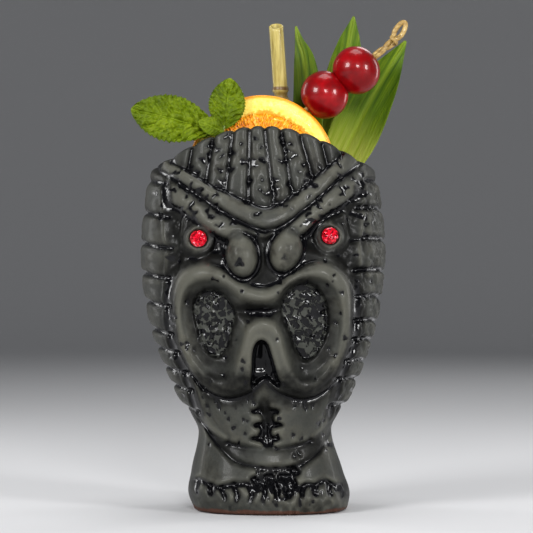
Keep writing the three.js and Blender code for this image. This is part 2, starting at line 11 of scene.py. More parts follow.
import bmesh
import bpy
import numpy as np
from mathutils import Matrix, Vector

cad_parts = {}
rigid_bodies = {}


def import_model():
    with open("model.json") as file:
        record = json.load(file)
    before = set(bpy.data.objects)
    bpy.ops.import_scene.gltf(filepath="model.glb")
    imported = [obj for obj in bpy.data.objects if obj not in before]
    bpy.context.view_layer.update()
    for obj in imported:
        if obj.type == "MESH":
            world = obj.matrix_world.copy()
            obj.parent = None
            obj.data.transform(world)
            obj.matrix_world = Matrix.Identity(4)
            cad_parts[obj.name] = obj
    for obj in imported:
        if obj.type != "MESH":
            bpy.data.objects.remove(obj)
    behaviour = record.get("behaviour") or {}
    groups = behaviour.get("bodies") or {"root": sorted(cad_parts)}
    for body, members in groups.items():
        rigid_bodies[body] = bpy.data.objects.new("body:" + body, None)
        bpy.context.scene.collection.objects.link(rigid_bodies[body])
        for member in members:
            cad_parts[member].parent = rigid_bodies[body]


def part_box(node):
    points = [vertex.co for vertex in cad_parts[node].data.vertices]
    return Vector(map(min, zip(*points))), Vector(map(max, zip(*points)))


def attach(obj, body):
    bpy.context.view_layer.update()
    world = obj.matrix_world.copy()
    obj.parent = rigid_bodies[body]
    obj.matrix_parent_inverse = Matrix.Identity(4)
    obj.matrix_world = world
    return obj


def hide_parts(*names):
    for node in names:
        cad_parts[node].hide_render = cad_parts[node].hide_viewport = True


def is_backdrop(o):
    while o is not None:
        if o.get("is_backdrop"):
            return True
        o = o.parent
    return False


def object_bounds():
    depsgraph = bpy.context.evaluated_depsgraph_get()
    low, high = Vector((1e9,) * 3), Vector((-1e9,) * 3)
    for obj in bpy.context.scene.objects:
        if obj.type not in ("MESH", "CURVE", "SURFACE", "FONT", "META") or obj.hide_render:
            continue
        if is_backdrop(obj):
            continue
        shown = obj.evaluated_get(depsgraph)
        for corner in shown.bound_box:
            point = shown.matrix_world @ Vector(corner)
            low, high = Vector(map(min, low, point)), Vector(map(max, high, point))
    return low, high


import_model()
CAD_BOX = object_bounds()
MM = 0.001

# %% [markdown]
# Lengths on the mug are written in millimetres, because a carver thinks in them, and become metres
# only when a mesh is made. These small functions shape every curve and slope below: a soft step, a
# blend, a curve through a few points, and the distance from many places to such a curve.

# %% Helpers for shapes


def smooth(low, high, value):
    t = np.clip((value - low) / (high - low), 0, 1)
    return t * t * (3 - 2 * t)


def blend(a, b, t):
    return a + (b - a) * t


def through(points, closed=False, steps=8):
    """A smooth curve through a few points, as an array of many."""
    p = np.array(points, float)
    if closed:
        p = np.vstack([p[-1], p, p[0], p[1]])
    else:
        p = np.vstack([2 * p[0] - p[1], p, 2 * p[-1] - p[-2]])
    t = np.linspace(0, 1, steps, endpoint=False)[:, None]
    pieces = []
    for a, b, c, d in zip(p, p[1:], p[2:], p[3:]):
        cubic = 2 * b + (c - a) * t + (2 * a - 5 * b + 4 * c - d) * t**2
        pieces.append(0.5 * (cubic + (3 * b - a - 3 * c + d) * t**3))
    pieces.append(p[-2:-1])
    return np.vstack(pieces)


def distance(curve, u, v, reach=14.0):
    """How far each place is from the curve. Places further off than the reach just say the reach."""
    far = np.full(u.shape, reach)
    low, high = curve.min(0) - reach, curve.max(0) + reach
    near = (u > low[0]) & (u < high[0]) & (v > low[1]) & (v < high[1])
    x, y = u[near], v[near]
    best = np.full(x.shape, reach**2)
    for (ax, ay), (bx, by) in zip(curve, curve[1:]):
        dx, dy = bx - ax, by - ay
        t = np.clip(((x - ax) * dx + (y - ay) * dy) / (dx * dx + dy * dy + 1e-9), 0, 1)
        best = np.minimum(best, (x - ax - t * dx) ** 2 + (y - ay - t * dy) ** 2)
    far[near] = np.sqrt(best)
    return far


def beyond(loop, u, v, reach=14.0):
    """The distance from a closed loop, negative within it."""
    within = np.zeros(u.shape, bool)
    for (ax, ay), (bx, by) in zip(loop, loop[1:]):
        if ay != by:
            crosses = (ay > v) != (by > v)
            within ^= crosses & (u < ax + (v - ay) * (bx - ax) / (by - ay))
    gap = distance(loop, u, v, reach)
    return np.where(within, -gap, gap)


def lattice_noise(u, v, size, seed):
    """Smooth noise from -1 to 1, with lumps about as wide as the size."""
    grid = np.random.default_rng(seed).uniform(-1, 1, (128, 128))
    x, y = u / size + 40, v / size + 40
    i, j = np.floor(x).astype(int), np.floor(y).astype(int)
    fx, fy = smooth(0, 1, x - i), smooth(0, 1, y - j)
    corner = lambda a, b: grid[(i + a) % 128, (j + b) % 128]
    return blend(blend(corner(0, 0), corner(1, 0), fx), blend(corner(0, 1), corner(1, 1), fx), fy)


def blurred(field, times):
    """A height field eased into its neighbours; columns wrap round, rows stop at the ends."""
    for _ in range(times):
        rows = np.vstack([field[:1], field, field[-1:]])
        field = (rows[:-2] + 2 * field + rows[2:]) / 4
        field = (np.roll(field, 1, 1) + 2 * field + np.roll(field, -1, 1)) / 4
    return field


def turned(x, y, angle):
    """Offsets seen along axes that are turned by an angle."""
    return (x * math.cos(angle) + y * math.sin(angle), y * math.cos(angle) - x * math.sin(angle))


def mesh_object(name, points, faces, body, replaced, finish):
    """A piece from points in millimetres and faces, riding on a body and standing for its nodes."""
    mesh = bpy.data.meshes.new(name)
    mesh.from_pydata((np.asarray(points, float) * MM).tolist(), [], faces)
    mesh.validate()
    mesh.shade_smooth()
    piece = bpy.data.objects.new(name, mesh)
    bpy.context.scene.collection.objects.link(piece)
    piece.data.materials.append(finish)
    return settle(piece, body, replaced)


def settle(piece, body, replaced):
    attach(piece, body)
    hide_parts(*replaced)
    triangles = sum(len(polygon.vertices) - 2 for polygon in piece.data.polygons)
    print(f"{piece.name}: {triangles} triangles on {body}")
    return piece


def lay(piece, label, values, domain="POINT"):
    """A number at every point or face of a piece, for its finish to read."""
    layer = piece.data.attributes.new(label, "FLOAT", domain)
    layer.data.foreach_set("value", np.asarray(values, np.float32).ravel())


def face_outward(piece):
    """Turns every face of a closed piece outward."""
    bm = bmesh.new()
    bm.from_mesh(piece.data)
    bmesh.ops.recalc_face_normals(bm, faces=bm.faces)
    bm.to_mesh(piece.data)
    bm.free()


def ring_faces(rings, around, closed=True):
    """Quads between rings of points, each ring having the same number of points."""
    faces = []
    for i in range(rings - 1):
        for j in range(around if closed else around - 1):
            k = (j + 1) % around
            faces.append((i * around + j, i * around + k, (i + 1) * around + k, (i + 1) * around + j))
    return faces


# %% [markdown]
# Every finish is a small network of nodes. Writing it node by node is long, so a `Finish` makes any
# node from its type, its settings and its inputs, and a `Number` lets sums on sockets be written as
# plain sums. A number that is the same all over a surface goes straight on the shader's own socket.

# %% Helpers for finishes


class Number:
    """A socket that carries a number, which Python's operators can work on."""

    def __init__(self, finish, socket):
        self.finish, self.socket = finish, socket

    def _math(self, operation, *values, clamp=False):
        settings = {"operation": operation, "use_clamp": clamp}
        return self.finish.node("ShaderNodeMath", settings, dict(enumerate(values))).number()

    def __add__(self, other):
        return self._math("ADD", self, other)

    def __sub__(self, other):
        return self._math("SUBTRACT", self, other)

    def __rsub__(self, other):
        return self._math("SUBTRACT", other, self)

    def __mul__(self, other):
        return self._math("MULTIPLY", self, other)

    def __truediv__(self, other):
        return self._math("DIVIDE", self, other)

    def __pow__(self, other):
        return self._math("POWER", self, other)

    __radd__ = __add__
    __rmul__ = __mul__

    def sine(self):
        return self._math("SINE", self)

    def size(self):
        return self._math("ABSOLUTE", self)

    def clipped(self):
        return self._math("ADD", self, 0.0, clamp=True)

    def between(self, low, high):
        """Eased from 0 at the low value to 1 at the high one."""
        settings = {"interpolation_type": "SMOOTHSTEP"}
        values = {"Value": self, "From Min": low, "From Max": high}
        return self.finish.node("ShaderNodeMapRange", settings, values).number()


class Made:
    """A node that has been made, and its outputs."""

    def __init__(self, finish, node):
        self.finish, self.node = finish, node

    def number(self, output=0):
        return Number(self.finish, self.node.outputs[output])

    def out(self, output=0):
        return self.node.outputs[output]


class Finish:
    def __init__(self, name):
        self.material = bpy.data.materials.new(name)
        self.material.use_nodes = True
        self.tree = self.material.node_tree
        self.shader = self.tree.nodes["Principled BSDF"]
        self.coordinates = self.tree.nodes.new("ShaderNodeTexCoord").outputs["Object"]

    def _feed(self, socket, value):
        if isinstance(value, Number):
            value = value.socket
        if isinstance(value, bpy.types.NodeSocket):
            self.tree.links.new(value, socket)
        else:
            socket.default_value = value

    def node(self, kind, settings=None, inputs=None):
        node = self.tree.nodes.new(kind)
        for key, value in (settings or {}).items():
            if key == "stops":
                while len(node.color_ramp.elements) < len(value):
                    node.color_ramp.elements.new(0.5)
                for stop, (at, colour) in zip(node.color_ramp.elements, value):
                    stop.position = at
                    stop.color = (*colour, 1)
            else:
                setattr(node, key, value)
        for key, value in (inputs or {}).items():
            self._feed(node.inputs[key], value)
        return Made(self, node)

    def noise(self, per_mm, detail=3.0, roughness=0.55, at=None, distortion=0.0):
        inputs = {"Vector": at or self.coordinates, "Scale": per_mm / MM, "Detail": detail,
                  "Roughness": roughness, "Distortion": distortion}
        return self.node("ShaderNodeTexNoise", None, inputs).number()

    def cells(self, per_mm, feature="F1", at=None, smoothness=0.0):
        inputs = {"Vector": at or self.coordinates, "Scale": per_mm / MM}
        if feature == "SMOOTH_F1":
            inputs["Smoothness"] = smoothness
        return self.node("ShaderNodeTexVoronoi", {"feature": feature}, inputs).number()

    def stretched(self, x, y, z, at=None, turn=(0, 0, 0)):
        inputs = {"Vector": at or self.coordinates, "Scale": (x, y, z), "Rotation": turn}
        return self.node("ShaderNodeMapping", None, inputs).out()

    def attribute(self, name):
        return self.node("ShaderNodeAttribute", {"attribute_name": name}).number("Fac")

    def mix(self, amount, a, b, way="MIX"):
        settings = {"data_type": "RGBA", "blend_type": way}
        colours = {6: (*a, 1) if isinstance(a, tuple) else a, 7: (*b, 1) if isinstance(b, tuple) else b}
        return self.node("ShaderNodeMix", settings, {0: amount, **colours}).out(2)

    def ramp(self, number, *stops):
        return self.node("ShaderNodeValToRGB", {"stops": stops}, {"Fac": number}).out()

    def bump(self, height_mm, strength=1.0):
        """A bump from a height in millimetres."""
        inputs = {"Height": height_mm * MM, "Distance": 1.0, "Strength": strength}
        return self.node("ShaderNodeBump", None, inputs).out()

    def surface(self, **inputs):
        for name, value in inputs.items():
            self._feed(self.shader.inputs[name.replace("_", " ")], value)
        return self.material


print("helpers ready")

# %% [markdown]
# ## The mug's plain form
# A potter would first throw or model the head without its face. It could be a subdivided box pushed
# into shape by hand, but a formula is easier to keep true to the measured model: at each height the
# plan is a squared ellipse, with a half width, a depth in front and a depth behind, and the rim
# arches up over the forehead.

# %% The plain form
# Height, half width, depth in front and depth behind, in millimetres.
FORM = np.array([
    (0, 33.5, 32, 30), (6, 35.3, 34, 32), (16, 33.2, 32, 31), (37, 29.3, 28.5, 27.5),
    (52, 36, 33, 33), (70, 43.3, 37.5, 37.5), (90, 48.3, 39.5, 40), (113, 50.2, 40, 42),
    (132, 48.6, 38, 41), (150, 46, 35, 39), (166, 44, 33, 37),
], float)
SQUARENESS = 2.3
RIM_SIDE, RIM_CREST, RIM_BACK = 148, 17, 2
SCALLOP = 1.3
SCALLOPS = np.array([-52, -46, -37.8, -29.2, -21, -12.5, -5.3, 0.8, 7.9, 16.3, 24.8, 32.6, 39, 45, 52])
HEAD_LEAN = -3.5
WALL, FLOOR = 4.2, 8
FOOT_ROUND = 1.2
RIM_ROUND = 1.2
COLUMNS_FRONT, COLUMNS_BACK = 304, 70
ROWS = 244


def form_at(z):
    slopes = np.gradient(FORM[:, 1:], FORM[:, 0], axis=0)
    i = np.clip(np.searchsorted(FORM[:, 0], z, "right") - 1, 0, len(FORM) - 2)
    span = (FORM[i + 1, 0] - FORM[i, 0])[..., None]
    t = np.clip((z[..., None] - FORM[i, 0][..., None]) / span, 0, 1)
    a, b = FORM[i, 1:], FORM[i + 1, 1:]
    return (a * (1 + 2 * t) * (1 - t) ** 2 + slopes[i] * span * t * (1 - t) ** 2
            + b * t * t * (3 - 2 * t) + slopes[i + 1] * span * t * t * (t - 1))


def lean(z):
    return HEAD_LEAN * (1 - np.exp(-z / 25))


def plan_of(angle):
    power = 2 / SQUARENESS
    c, s = np.cos(angle), np.sin(angle)
    return np.sign(c) * np.abs(c) ** power, np.sign(s) * np.abs(s) ** power


def rim_height(angle):
    across, back = plan_of(angle)
    level = RIM_SIDE + (1 - across**2) * np.where(back < 0, RIM_CREST, RIM_BACK)
    u = across * 44.5
    lock = np.clip(np.searchsorted(SCALLOPS, u), 1, len(SCALLOPS) - 1)
    share = (u - SCALLOPS[lock - 1]) / (SCALLOPS[lock] - SCALLOPS[lock - 1])
    arch = (1 - (2 * share - 1) ** 2) ** 0.7
    return level + SCALLOP * (arch - 0.75) * smooth(0, -0.25, back)


def form_points(angle, z, inset):
    """Points of the plain form, moved in by an inset."""
    size = form_at(z)
    across, back = plan_of(angle)
    depth = np.where(back < 0, size[..., 1], size[..., 2]) - inset
    x = lean(z) + across * (size[..., 0] - inset)
    return np.stack([x, back * depth, z], -1)


def even_angles(start, turn, count):
    """Angles that part a stretch of the plan into equal lengths."""
    angle = np.linspace(start, start + turn, 4001)
    across, back = plan_of(angle)
    step = np.hypot(np.diff(across * 50), np.diff(back * 42))
    run = np.concatenate([[0], np.cumsum(step)])
    return np.interp(np.linspace(0, run[-1], count, endpoint=False), run, angle)


FRONT_TURN = math.radians(206)
FRONT_START = math.radians(167)
ANGLES = np.concatenate([
    even_angles(FRONT_START, FRONT_TURN, COLUMNS_FRONT),
    even_angles(FRONT_START + FRONT_TURN, 2 * math.pi - FRONT_TURN, COLUMNS_BACK),
])
rows = np.linspace(0, 1, ROWS)[:, None]
angle = np.broadcast_to(ANGLES, (ROWS, len(ANGLES)))
Z = blend(FOOT_ROUND, rim_height(angle) - RIM_ROUND, rows)
BASE = form_points(angle, Z, 0)
# The carver's drawing is laid on the mug a little larger than it was drawn.
DRAWN_SIZE, DRAWN_MIDDLE, LAID_MIDDLE = 0.981, 105.0, 105.35
U = (BASE[..., 0] - lean(Z)) * DRAWN_SIZE
V = DRAWN_MIDDLE + (Z - LAID_MIDDLE) * DRAWN_SIZE
spacing = float(np.abs(np.diff(U[100, 100:200])).mean())
print("grid:", BASE.shape, "front spacing", round(spacing, 2), "mm")

# %% [markdown]
# ## Carving the face
# On the real mug the carver cut a model in clay and cast it. Sculpting by hand could do the same
# here, but it can't be repeated, so the carving is a height in millimetres at every place of the
# front: u runs across the face and v up it. Each feature is a line, a loop or a mound, laid over
# what is there in the order a carver would cut: forehead, brow, eyes, nose, mouth, hands, legs, feet.

# %% Forehead: a crest of hair, and two bands that run down to the nose
HAIR_LINE = [(-46, 155), (-38.5, 149), (-30, 144), (-22, 139), (-13.5, 135), (-5, 131), (0, 129.5),
             (4, 129.7), (9.5, 132.5), (15.5, 136.5), (21.5, 142), (28, 147), (34, 152.5), (38, 156)]
BAND_LINE = [(-50, 152), (-44, 146.5), (-36.5, 141), (-26, 134), (-15.5, 127), (-9.5, 123.5),
             (-3, 120.5), (1, 119.5), (5, 120), (11.5, 123.5), (15.5, 127), (24, 134), (32, 141.5),
             (37, 145), (44, 152)]
BROW_LINE = [(-52, 143.5), (-46.5, 139), (-38.5, 132.5), (-30, 126.5), (-24, 122), (-17.5, 118),
             (-10, 114.5), (0, 112.5), (8, 114), (15.5, 118), (21.5, 123.5), (28, 128.5), (34, 132.5),
             (44.5, 140), (52, 145)]
# Each parting of the hair: across at the top, height there, across at the bottom, height there.
PARTINGS = [(-38, 153, -39.5, 149), (-29.5, 155, -31, 146.5), (-21, 157.5, -23.5, 141.5),
            (-12.5, 161, -15.5, 136.5), (-5.5, 161.5, -6, 131.5), (0.7, 163, 4.6, 131.5),
            (7.7, 161.5, 12, 136.5), (16, 158.5, 20.5, 143.5), (24.7, 157, 26.8, 148.5),
            (33, 154, 34.5, 151)]


def line_height(line, u):
    curve = through(line)
    return np.interp(u, curve[:, 0], curve[:, 1])


def parting_places(v):
    top_u, top_v, low_u, low_v = np.array(PARTINGS).T
    share = (v[..., None] - low_v) / (top_v - low_v)
    return low_u + (top_u - low_u) * share


places = parting_places(V)
hair_gap = np.abs(U[..., None] - places).min(-1)
lock = np.clip((U[..., None] > places).sum(-1), 1, len(PARTINGS) - 1)
left_of = np.take_along_axis(places, (lock - 1)[..., None], -1)[..., 0]
right_of = np.take_along_axis(places, lock[..., None], -1)[..., 0]
across_lock = np.clip((U - left_of) / (right_of - left_of), 0, 1)
LOCK_ROUND = 1 - (2 * across_lock - 1) ** 2

over_hair = (V - line_height(HAIR_LINE, U)) * 0.82
over_band = (V - line_height(BAND_LINE, U)) * 0.82
over_brow = (V - line_height(BROW_LINE, U)) * 0.82

hair = 2.4 + 1.5 * LOCK_ROUND**0.6
band_round = np.clip(1 - ((over_band - 3.6) / 4.2) ** 2, 0, 1)
brow_round = np.clip(1 - ((over_brow - 3.2) / 4.0) ** 2, 0, 1)
height = blend(4.5 + 1.3 * band_round, hair, smooth(-0.2, 0.5, over_hair))
height = blend(5.3 + 1.6 * brow_round, height, smooth(-0.2, 0.4, over_band))
# Painted shade: each lock, band and brow is darker along its edges and lighter in its middle.
form_shade = blend(1 - brow_round, 1 - band_round, smooth(-0.2, 0.4, over_band))
form_shade = blend(form_shade, 1 - LOCK_ROUND, smooth(-0.2, 0.5, over_hair))
form_shade *= smooth(-0.6, 0.4, over_brow)


def groove(gap, width, depth):
    """A rounded cut along a line, as a drop in height."""
    return depth * np.exp(-((gap / width) ** 2))


in_hair = smooth(0, 0.6, over_hair)
height -= groove(hair_gap, 0.55, 1.5) * in_hair
height -= groove(over_hair, 0.6, 1.7)
height -= groove(over_band, 0.75, 2.3)
height += groove(over_hair + 1.5, 0.5, 0.35) + groove(over_band - 1.6, 0.5, 0.3)
cuts = np.maximum(groove(hair_gap, 0.5, 0.9) * in_hair, groove(over_hair, 0.6, 1))
cuts = np.maximum(cuts, groove(over_band + 0.1, 0.75, 1))
print("forehead from", round(float(height.min()), 1), "to", round(float(height.max()), 1), "mm")

# %% Eyes: a deep hollow under the brow, and a smooth dish with a raised edge round each crystal
EYES = {}
for which in ("left", "right"):
    low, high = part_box(f"{which}_eye_crystal")
    middle = (low + high) / 2 / MM
    EYES[which] = ((middle.x - lean(middle.z)) * DRAWN_SIZE,
                   DRAWN_MIDDLE + (middle.z - LAID_MIDDLE) * DRAWN_SIZE)
# The dish's edge round its crystal, on the right eye: a drop shape with its point up and outward.
DISH = [(-5.9, -1.2), (-4.7, 3.0), (-1.4, 5.9), (2.2, 6.8), (5.4, 8.4), (6.6, 4.4), (6.9, -1.2),
        (5.2, -5.2), (1.4, -6.6), (-3.6, -5.2)]
SEAT_RADIUS, SEAT_DEPTH = 4.0, 2.3
DISH_LEVEL = 3.2
# The face of each seat is where its crystal's crown begins, a crown's height behind its front.
CRYSTAL_CROWN = 1.3
CHEEK_TOP = [(-37, 100), (-33, 103), (-28, 105), (-22, 106.5), (-16, 107), (-8, 106), (0, 106),
             (8, 107), (17, 110), (21.5, 109), (28, 107.3), (33, 103.5), (37, 98)]

under_brow = smooth(0.2, -1.6, over_brow)
over_cheek = V - line_height(CHEEK_TOP, U)
inner = smooth(30, 12, np.abs(U))
hollow = 2.6 - 2.2 * inner * smooth(0, 6, over_cheek) + 1.8 * smooth(6, 0, over_cheek)
temple = lattice_noise(U, V, 2.3, 4) * 0.6 + lattice_noise(U, V, 1.3, 5) * 0.7
rough_temple = smooth(25, 30, np.abs(U)) * smooth(0.5, 3, over_cheek)
hollow += temple * rough_temple
height = blend(height, hollow, under_brow)
cuts = np.maximum(cuts, groove(over_brow + 1.4, 0.9, 1) * smooth(47, 40, np.abs(U)))
for side, (eye_u, eye_v) in EYES.items():
    turn = 1 if side == "right" else -1
    loop = through([(eye_u + turn * x, eye_v + y) for x, y in DISH], closed=True)
    out = beyond(loop, U, V)
    height = blend(height, DISH_LEVEL, smooth(0.9, -0.3, out) * smooth(0.6, -1.2, over_brow))
    height += groove(out - 0.2, 0.55, 1.0) * smooth(0.8, -0.6, over_brow)
    height -= groove(out - 1.6, 0.7, 0.7) * under_brow * smooth(-0.4, -1.4, over_brow)
    seat = np.hypot(U - eye_u, V - eye_v)
    crystal_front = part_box(f"{side}_eye_crystal")[0][1] / MM
    flat = BASE[..., 1] - crystal_front - CRYSTAL_CROWN
    height = blend(height, flat, smooth(6.4, 4.6, seat))
    height += groove(seat - SEAT_RADIUS - 0.6, 0.4, 0.35)
    height -= SEAT_DEPTH * smooth(SEAT_RADIUS + 0.1, SEAT_RADIUS - 0.3, seat)
print("eyes at", EYES)

# %% Mouth: one round lip that runs about both halves of the mouth and over the chin between them
LIP = through([(0, 91.6), (6, 93.6), (12, 98.6), (19, 101.6), (26, 101.2), (32, 97), (34.6, 89),
               (34.8, 79), (32.8, 68), (27.5, 59.5), (20.5, 54.2), (14.5, 55), (10, 61), (7.6, 70),
               (5.4, 78), (0.6, 82.2), (-4.2, 79), (-7.2, 70.5), (-9.4, 62), (-12.5, 56), (-18, 53.6),
               (-25.5, 57.4), (-31.5, 65.5), (-35, 75), (-36.2, 85), (-34.8, 94), (-30.5, 99.6),
               (-23, 101.4), (-15.5, 99), (-7, 93.4)], closed=True)
OUTLINE = through([(0, 96), (6.5, 98), (12, 102.8), (19.5, 106.2), (26, 106.4), (32.5, 102.6),
                   (36.6, 96), (37.6, 84), (36.8, 72), (33.4, 62), (28, 55), (21.5, 51), (15.5, 49.8),
                   (9.5, 51.5), (4.4, 54.4), (0.6, 58), (-2.2, 56), (-5.4, 53.2), (-11.5, 50.7),
                   (-17.5, 50.6), (-24.5, 54), (-30.4, 61), (-35.4, 70), (-38.2, 79), (-39, 88),
                   (-37.8, 96), (-34, 102.4), (-26, 106), (-17, 104), (-8, 98.2)], closed=True)
LEFT_PIT = through([(-29.2, 88), (-27, 93), (-22, 95.4), (-17, 93.8), (-12.8, 89), (-11.4, 84.5),
                    (-13, 78), (-14.8, 71), (-19, 67.2), (-24, 70), (-27.2, 78)], closed=True)
RIGHT_PIT = through([(8.2, 91), (11.5, 95.6), (16.5, 98), (22.6, 96), (26.4, 89.5), (27.2, 81),
                     (25, 72.5), (20.6, 67), (16.6, 66.2), (13.4, 70.5), (10.6, 78.5), (7.6, 85.5)],
                    closed=True)
SLIT = through([(-12.5, 87), (-7.5, 86.2), (-2, 86.2), (3, 86.2), (8.4, 88)])
NOTCH = through([(-4.8, 54.6), (-4.6, 62), (-4.2, 69.5), (-2.8, 73.2), (-0.4, 74.3), (1.8, 72.6),
                 (3.6, 67), (5.4, 60.5), (6.4, 54.8), (0.7, 58.4)], closed=True)
LIP_TOP, BOWL_LOW, PIT_FLOOR = 9.6, 3.4, -0.3

outside = beyond(OUTLINE, U, V)
to_crest = beyond(LIP, U, V)
to_pits = np.minimum(beyond(LEFT_PIT, U, V), beyond(RIGHT_PIT, U, V))
slit_gap = distance(SLIT, U, V)
to_hollow = np.minimum(to_pits, slit_gap - 1.1)
outer_slope = np.clip(to_crest / (to_crest + np.clip(-outside, 0, None) + 1e-6), 0, 1)
lip_outer = LIP_TOP - (LIP_TOP - 6.2) * outer_slope**2.4
down = np.clip(-to_crest / (-to_crest + np.clip(to_hollow, 0, None) + 1e-6), 0, 1)
bowl = LIP_TOP - (LIP_TOP - BOWL_LOW) * (1 - (1 - down) ** 1.6) * smooth(0, 0.5, down)
mouth = np.where(to_crest > 0, lip_outer, bowl)
mouth = blend(mouth, PIT_FLOOR, smooth(0.5, -0.8, to_pits))
mouth = blend(mouth, 1.8, smooth(1.5, 0.5, slit_gap) * smooth(-1, 0.5, to_pits))
mouth += groove(slit_gap, 0.35, 0.9) * smooth(0.5, 2, to_pits)
notch = beyond(NOTCH, U, V)
mouth = blend(mouth, 2.2, smooth(0.5, -0.9, notch))
height = blend(height, mouth, smooth(0.7, -0.5, outside))
chin = smooth(64, 58, V)
height -= groove(outside + 2.2, 0.55, 1.1) * chin * smooth(0.2, -0.6, -notch - 0.4)
height += groove(outside + 0.5, 0.5, 0.9) * chin
print("mouth:", len(LIP), "points round the lip")

# %% Lava in the pits, and in the notch of the chin
worms = lattice_noise(U + 0.35 * V, V, 1.9, 11)
pit_floor = smooth(0.4, -0.8, to_pits)
height += 1.3 * worms * pit_floor
notch_floor = smooth(-0.3, -1.5, notch)
height += 1.3 * lattice_noise(U, V * 0.8, 2.3, 13) * notch_floor
print("lava covers", int(pit_floor.sum()), "points")

# %% Nose: two nostrils like eggs, each with a thin raised line round it, and a ridge between them
NOSTRILS = [(-8.8, 109.3, 6.9, 9.3, 0.1), (9.6, 111.4, 6.9, 9.2, -0.28)]
NOSE = through([(-8, 119.5), (0, 117), (8, 120), (9, 110), (5, 101.5), (0.8, 99.5), (-5, 98.6),
                (-9.5, 99.4), (-7.5, 108)], closed=True)
RIDGE = through([(-5.5, 119.5), (-2.6, 117.5), (-0.6, 113), (0.0, 107.5), (-1.0, 102.4), (-4.4, 99.2),
                 (-9.5, 98.4), (-13, 100.2)])
RIDGE_RIGHT = through([(-1.2, 115), (1.5, 117.6), (4.0, 119.6)])
to_nose = beyond(NOSE, U, V)
height = blend(height, 4.4, smooth(0.6, -1.4, to_nose))
eggs, dents = np.zeros_like(height), np.zeros_like(height)
for centre_u, centre_v, wide, tall, turn in NOSTRILS:
    du, dv = U - centre_u, V - centre_v
    x, y = turned(du, dv, turn)
    r = np.hypot(x / wide, y / tall)
    edge = (r - 1) * min(wide, tall)
    low_side = smooth(4, -4, dv)
    height -= groove(edge - 0.5, 0.7, 1.0) * smooth(9, 5, np.abs(du))
    cuts = np.maximum(cuts, groove(edge - 0.4, 0.7, 0.8) * (0.35 + 0.65 * low_side))
    egg = 3.6 + 8.6 * np.sqrt(np.clip(1 - r**2, 0, 1))
    height = np.where(r < 1, np.maximum(height, egg), height)
    eggs = np.maximum(eggs, smooth(1.0, 0.9, r))
    dent_u, dent_v = du + 0.8, dv + 2.8
    dent_shape = 1 + 0.35 * np.sin(3 * np.arctan2(dent_v, dent_u))
    dent = smooth(2.3, 1.0, np.hypot(dent_u, dent_v) * dent_shape)
    height -= 1.0 * dent
    dents = np.maximum(dents, dent * (0.95 if centre_u < 0 else 0.5))
for line in (RIDGE, RIDGE_RIGHT):
    gap = distance(line, U, V)
    height = np.maximum(height, 6.4 * groove(gap, 0.75, 1.0))
    cuts *= 1 - groove(gap, 0.5, 1)
print("nostrils:", len(NOSTRILS))

# %% Body: hands folded over the belly, arms, legs and a row of toes
HANDS_LINE = [(-34, 52), (-27, 40), (-22, 35), (-16, 31.6), (-9.5, 30), (1, 29), (11.5, 30), (19.5, 32.4),
              (25, 36.5), (30, 43), (34, 52)]
BELLY_LINE = [(-34, 50), (-27.5, 40), (-22, 32), (-17, 27), (-11.5, 23), (1, 20.8), (13, 21.8), (20, 25),
              (25, 30), (30, 38), (35, 48)]
ARMS = [[(-33, 62), (-29.2, 55), (-27, 49.5), (-24.5, 42), (-21.5, 36.5), (-17.5, 32.5)],
        [(33.5, 60), (31.4, 54), (30, 48), (28, 41.5), (25.4, 36.6), (21, 33)]]
FINGERS = [44.5, 38.8, 33]
TOES = [-30, -24, -19, -13.5, -7.5, -2, 3.5, 9, 14.5, 20, 26, 31]

body = smooth(0.2, 1.6, outside) * smooth(62, 57, V)
over_hands = (V - line_height(HANDS_LINE, U)) * 0.85
over_belly = (V - line_height(BELLY_LINE, U)) * 0.85
hands = 5.4 + 2.0 * np.clip(1 - (over_hands / 15 - 0.45) ** 2 * 3, 0, 1)
hands += 1.8 * np.clip(1 - ((np.abs(U) - 13) / 13) ** 2 - ((V - 40) / 12) ** 2, 0, 1)
legs = 5.0 + 1.0 * smooth(6, 22, np.abs(U))
figure = blend(legs, 5.2, smooth(-0.4, 0.5, over_belly))
figure = blend(figure, hands, smooth(-0.3, 0.7, over_hands))
figure -= groove(over_hands + 0.2, 0.55, 1.1) + groove(over_belly, 0.7, 1.9)
cuts = np.maximum(cuts, groove(over_hands + 0.2, 0.4, 0.35) * body * smooth(33, 25, np.abs(U)))
cuts = np.maximum(cuts, groove(over_belly, 0.6, 0.75) * body * smooth(33, 25, np.abs(U)))
cuts = np.maximum(cuts, groove(outside - 0.6, 0.7, 0.8) * smooth(66, 60, V))
for arm in ARMS:
    gap = distance(through(arm), U, V)
    figure += groove(gap, 1.5, 0.9) - groove(gap - 2.6, 0.7, 0.7)
spread = np.abs(U - 0.8 - 0.8 * np.sin(V * 0.5))
tips = 2.6 + 4.2 * np.max([groove(V - at, 0.95, 1) for at in FINGERS], 0)
tips += lattice_noise(U, V, 1.6, 21) * 0.4
between = smooth(0.5, -1.1, spread - tips) * smooth(28.5, 30.5, V) * smooth(52, 44, V)
figure = blend(figure, 2.6, between)
figure += 1.3 * groove(U - 0.4, 1.1, 1) * between * (0.6 + 0.5 * lattice_noise(U, V, 1.1, 22))
height = blend(height, figure, body)

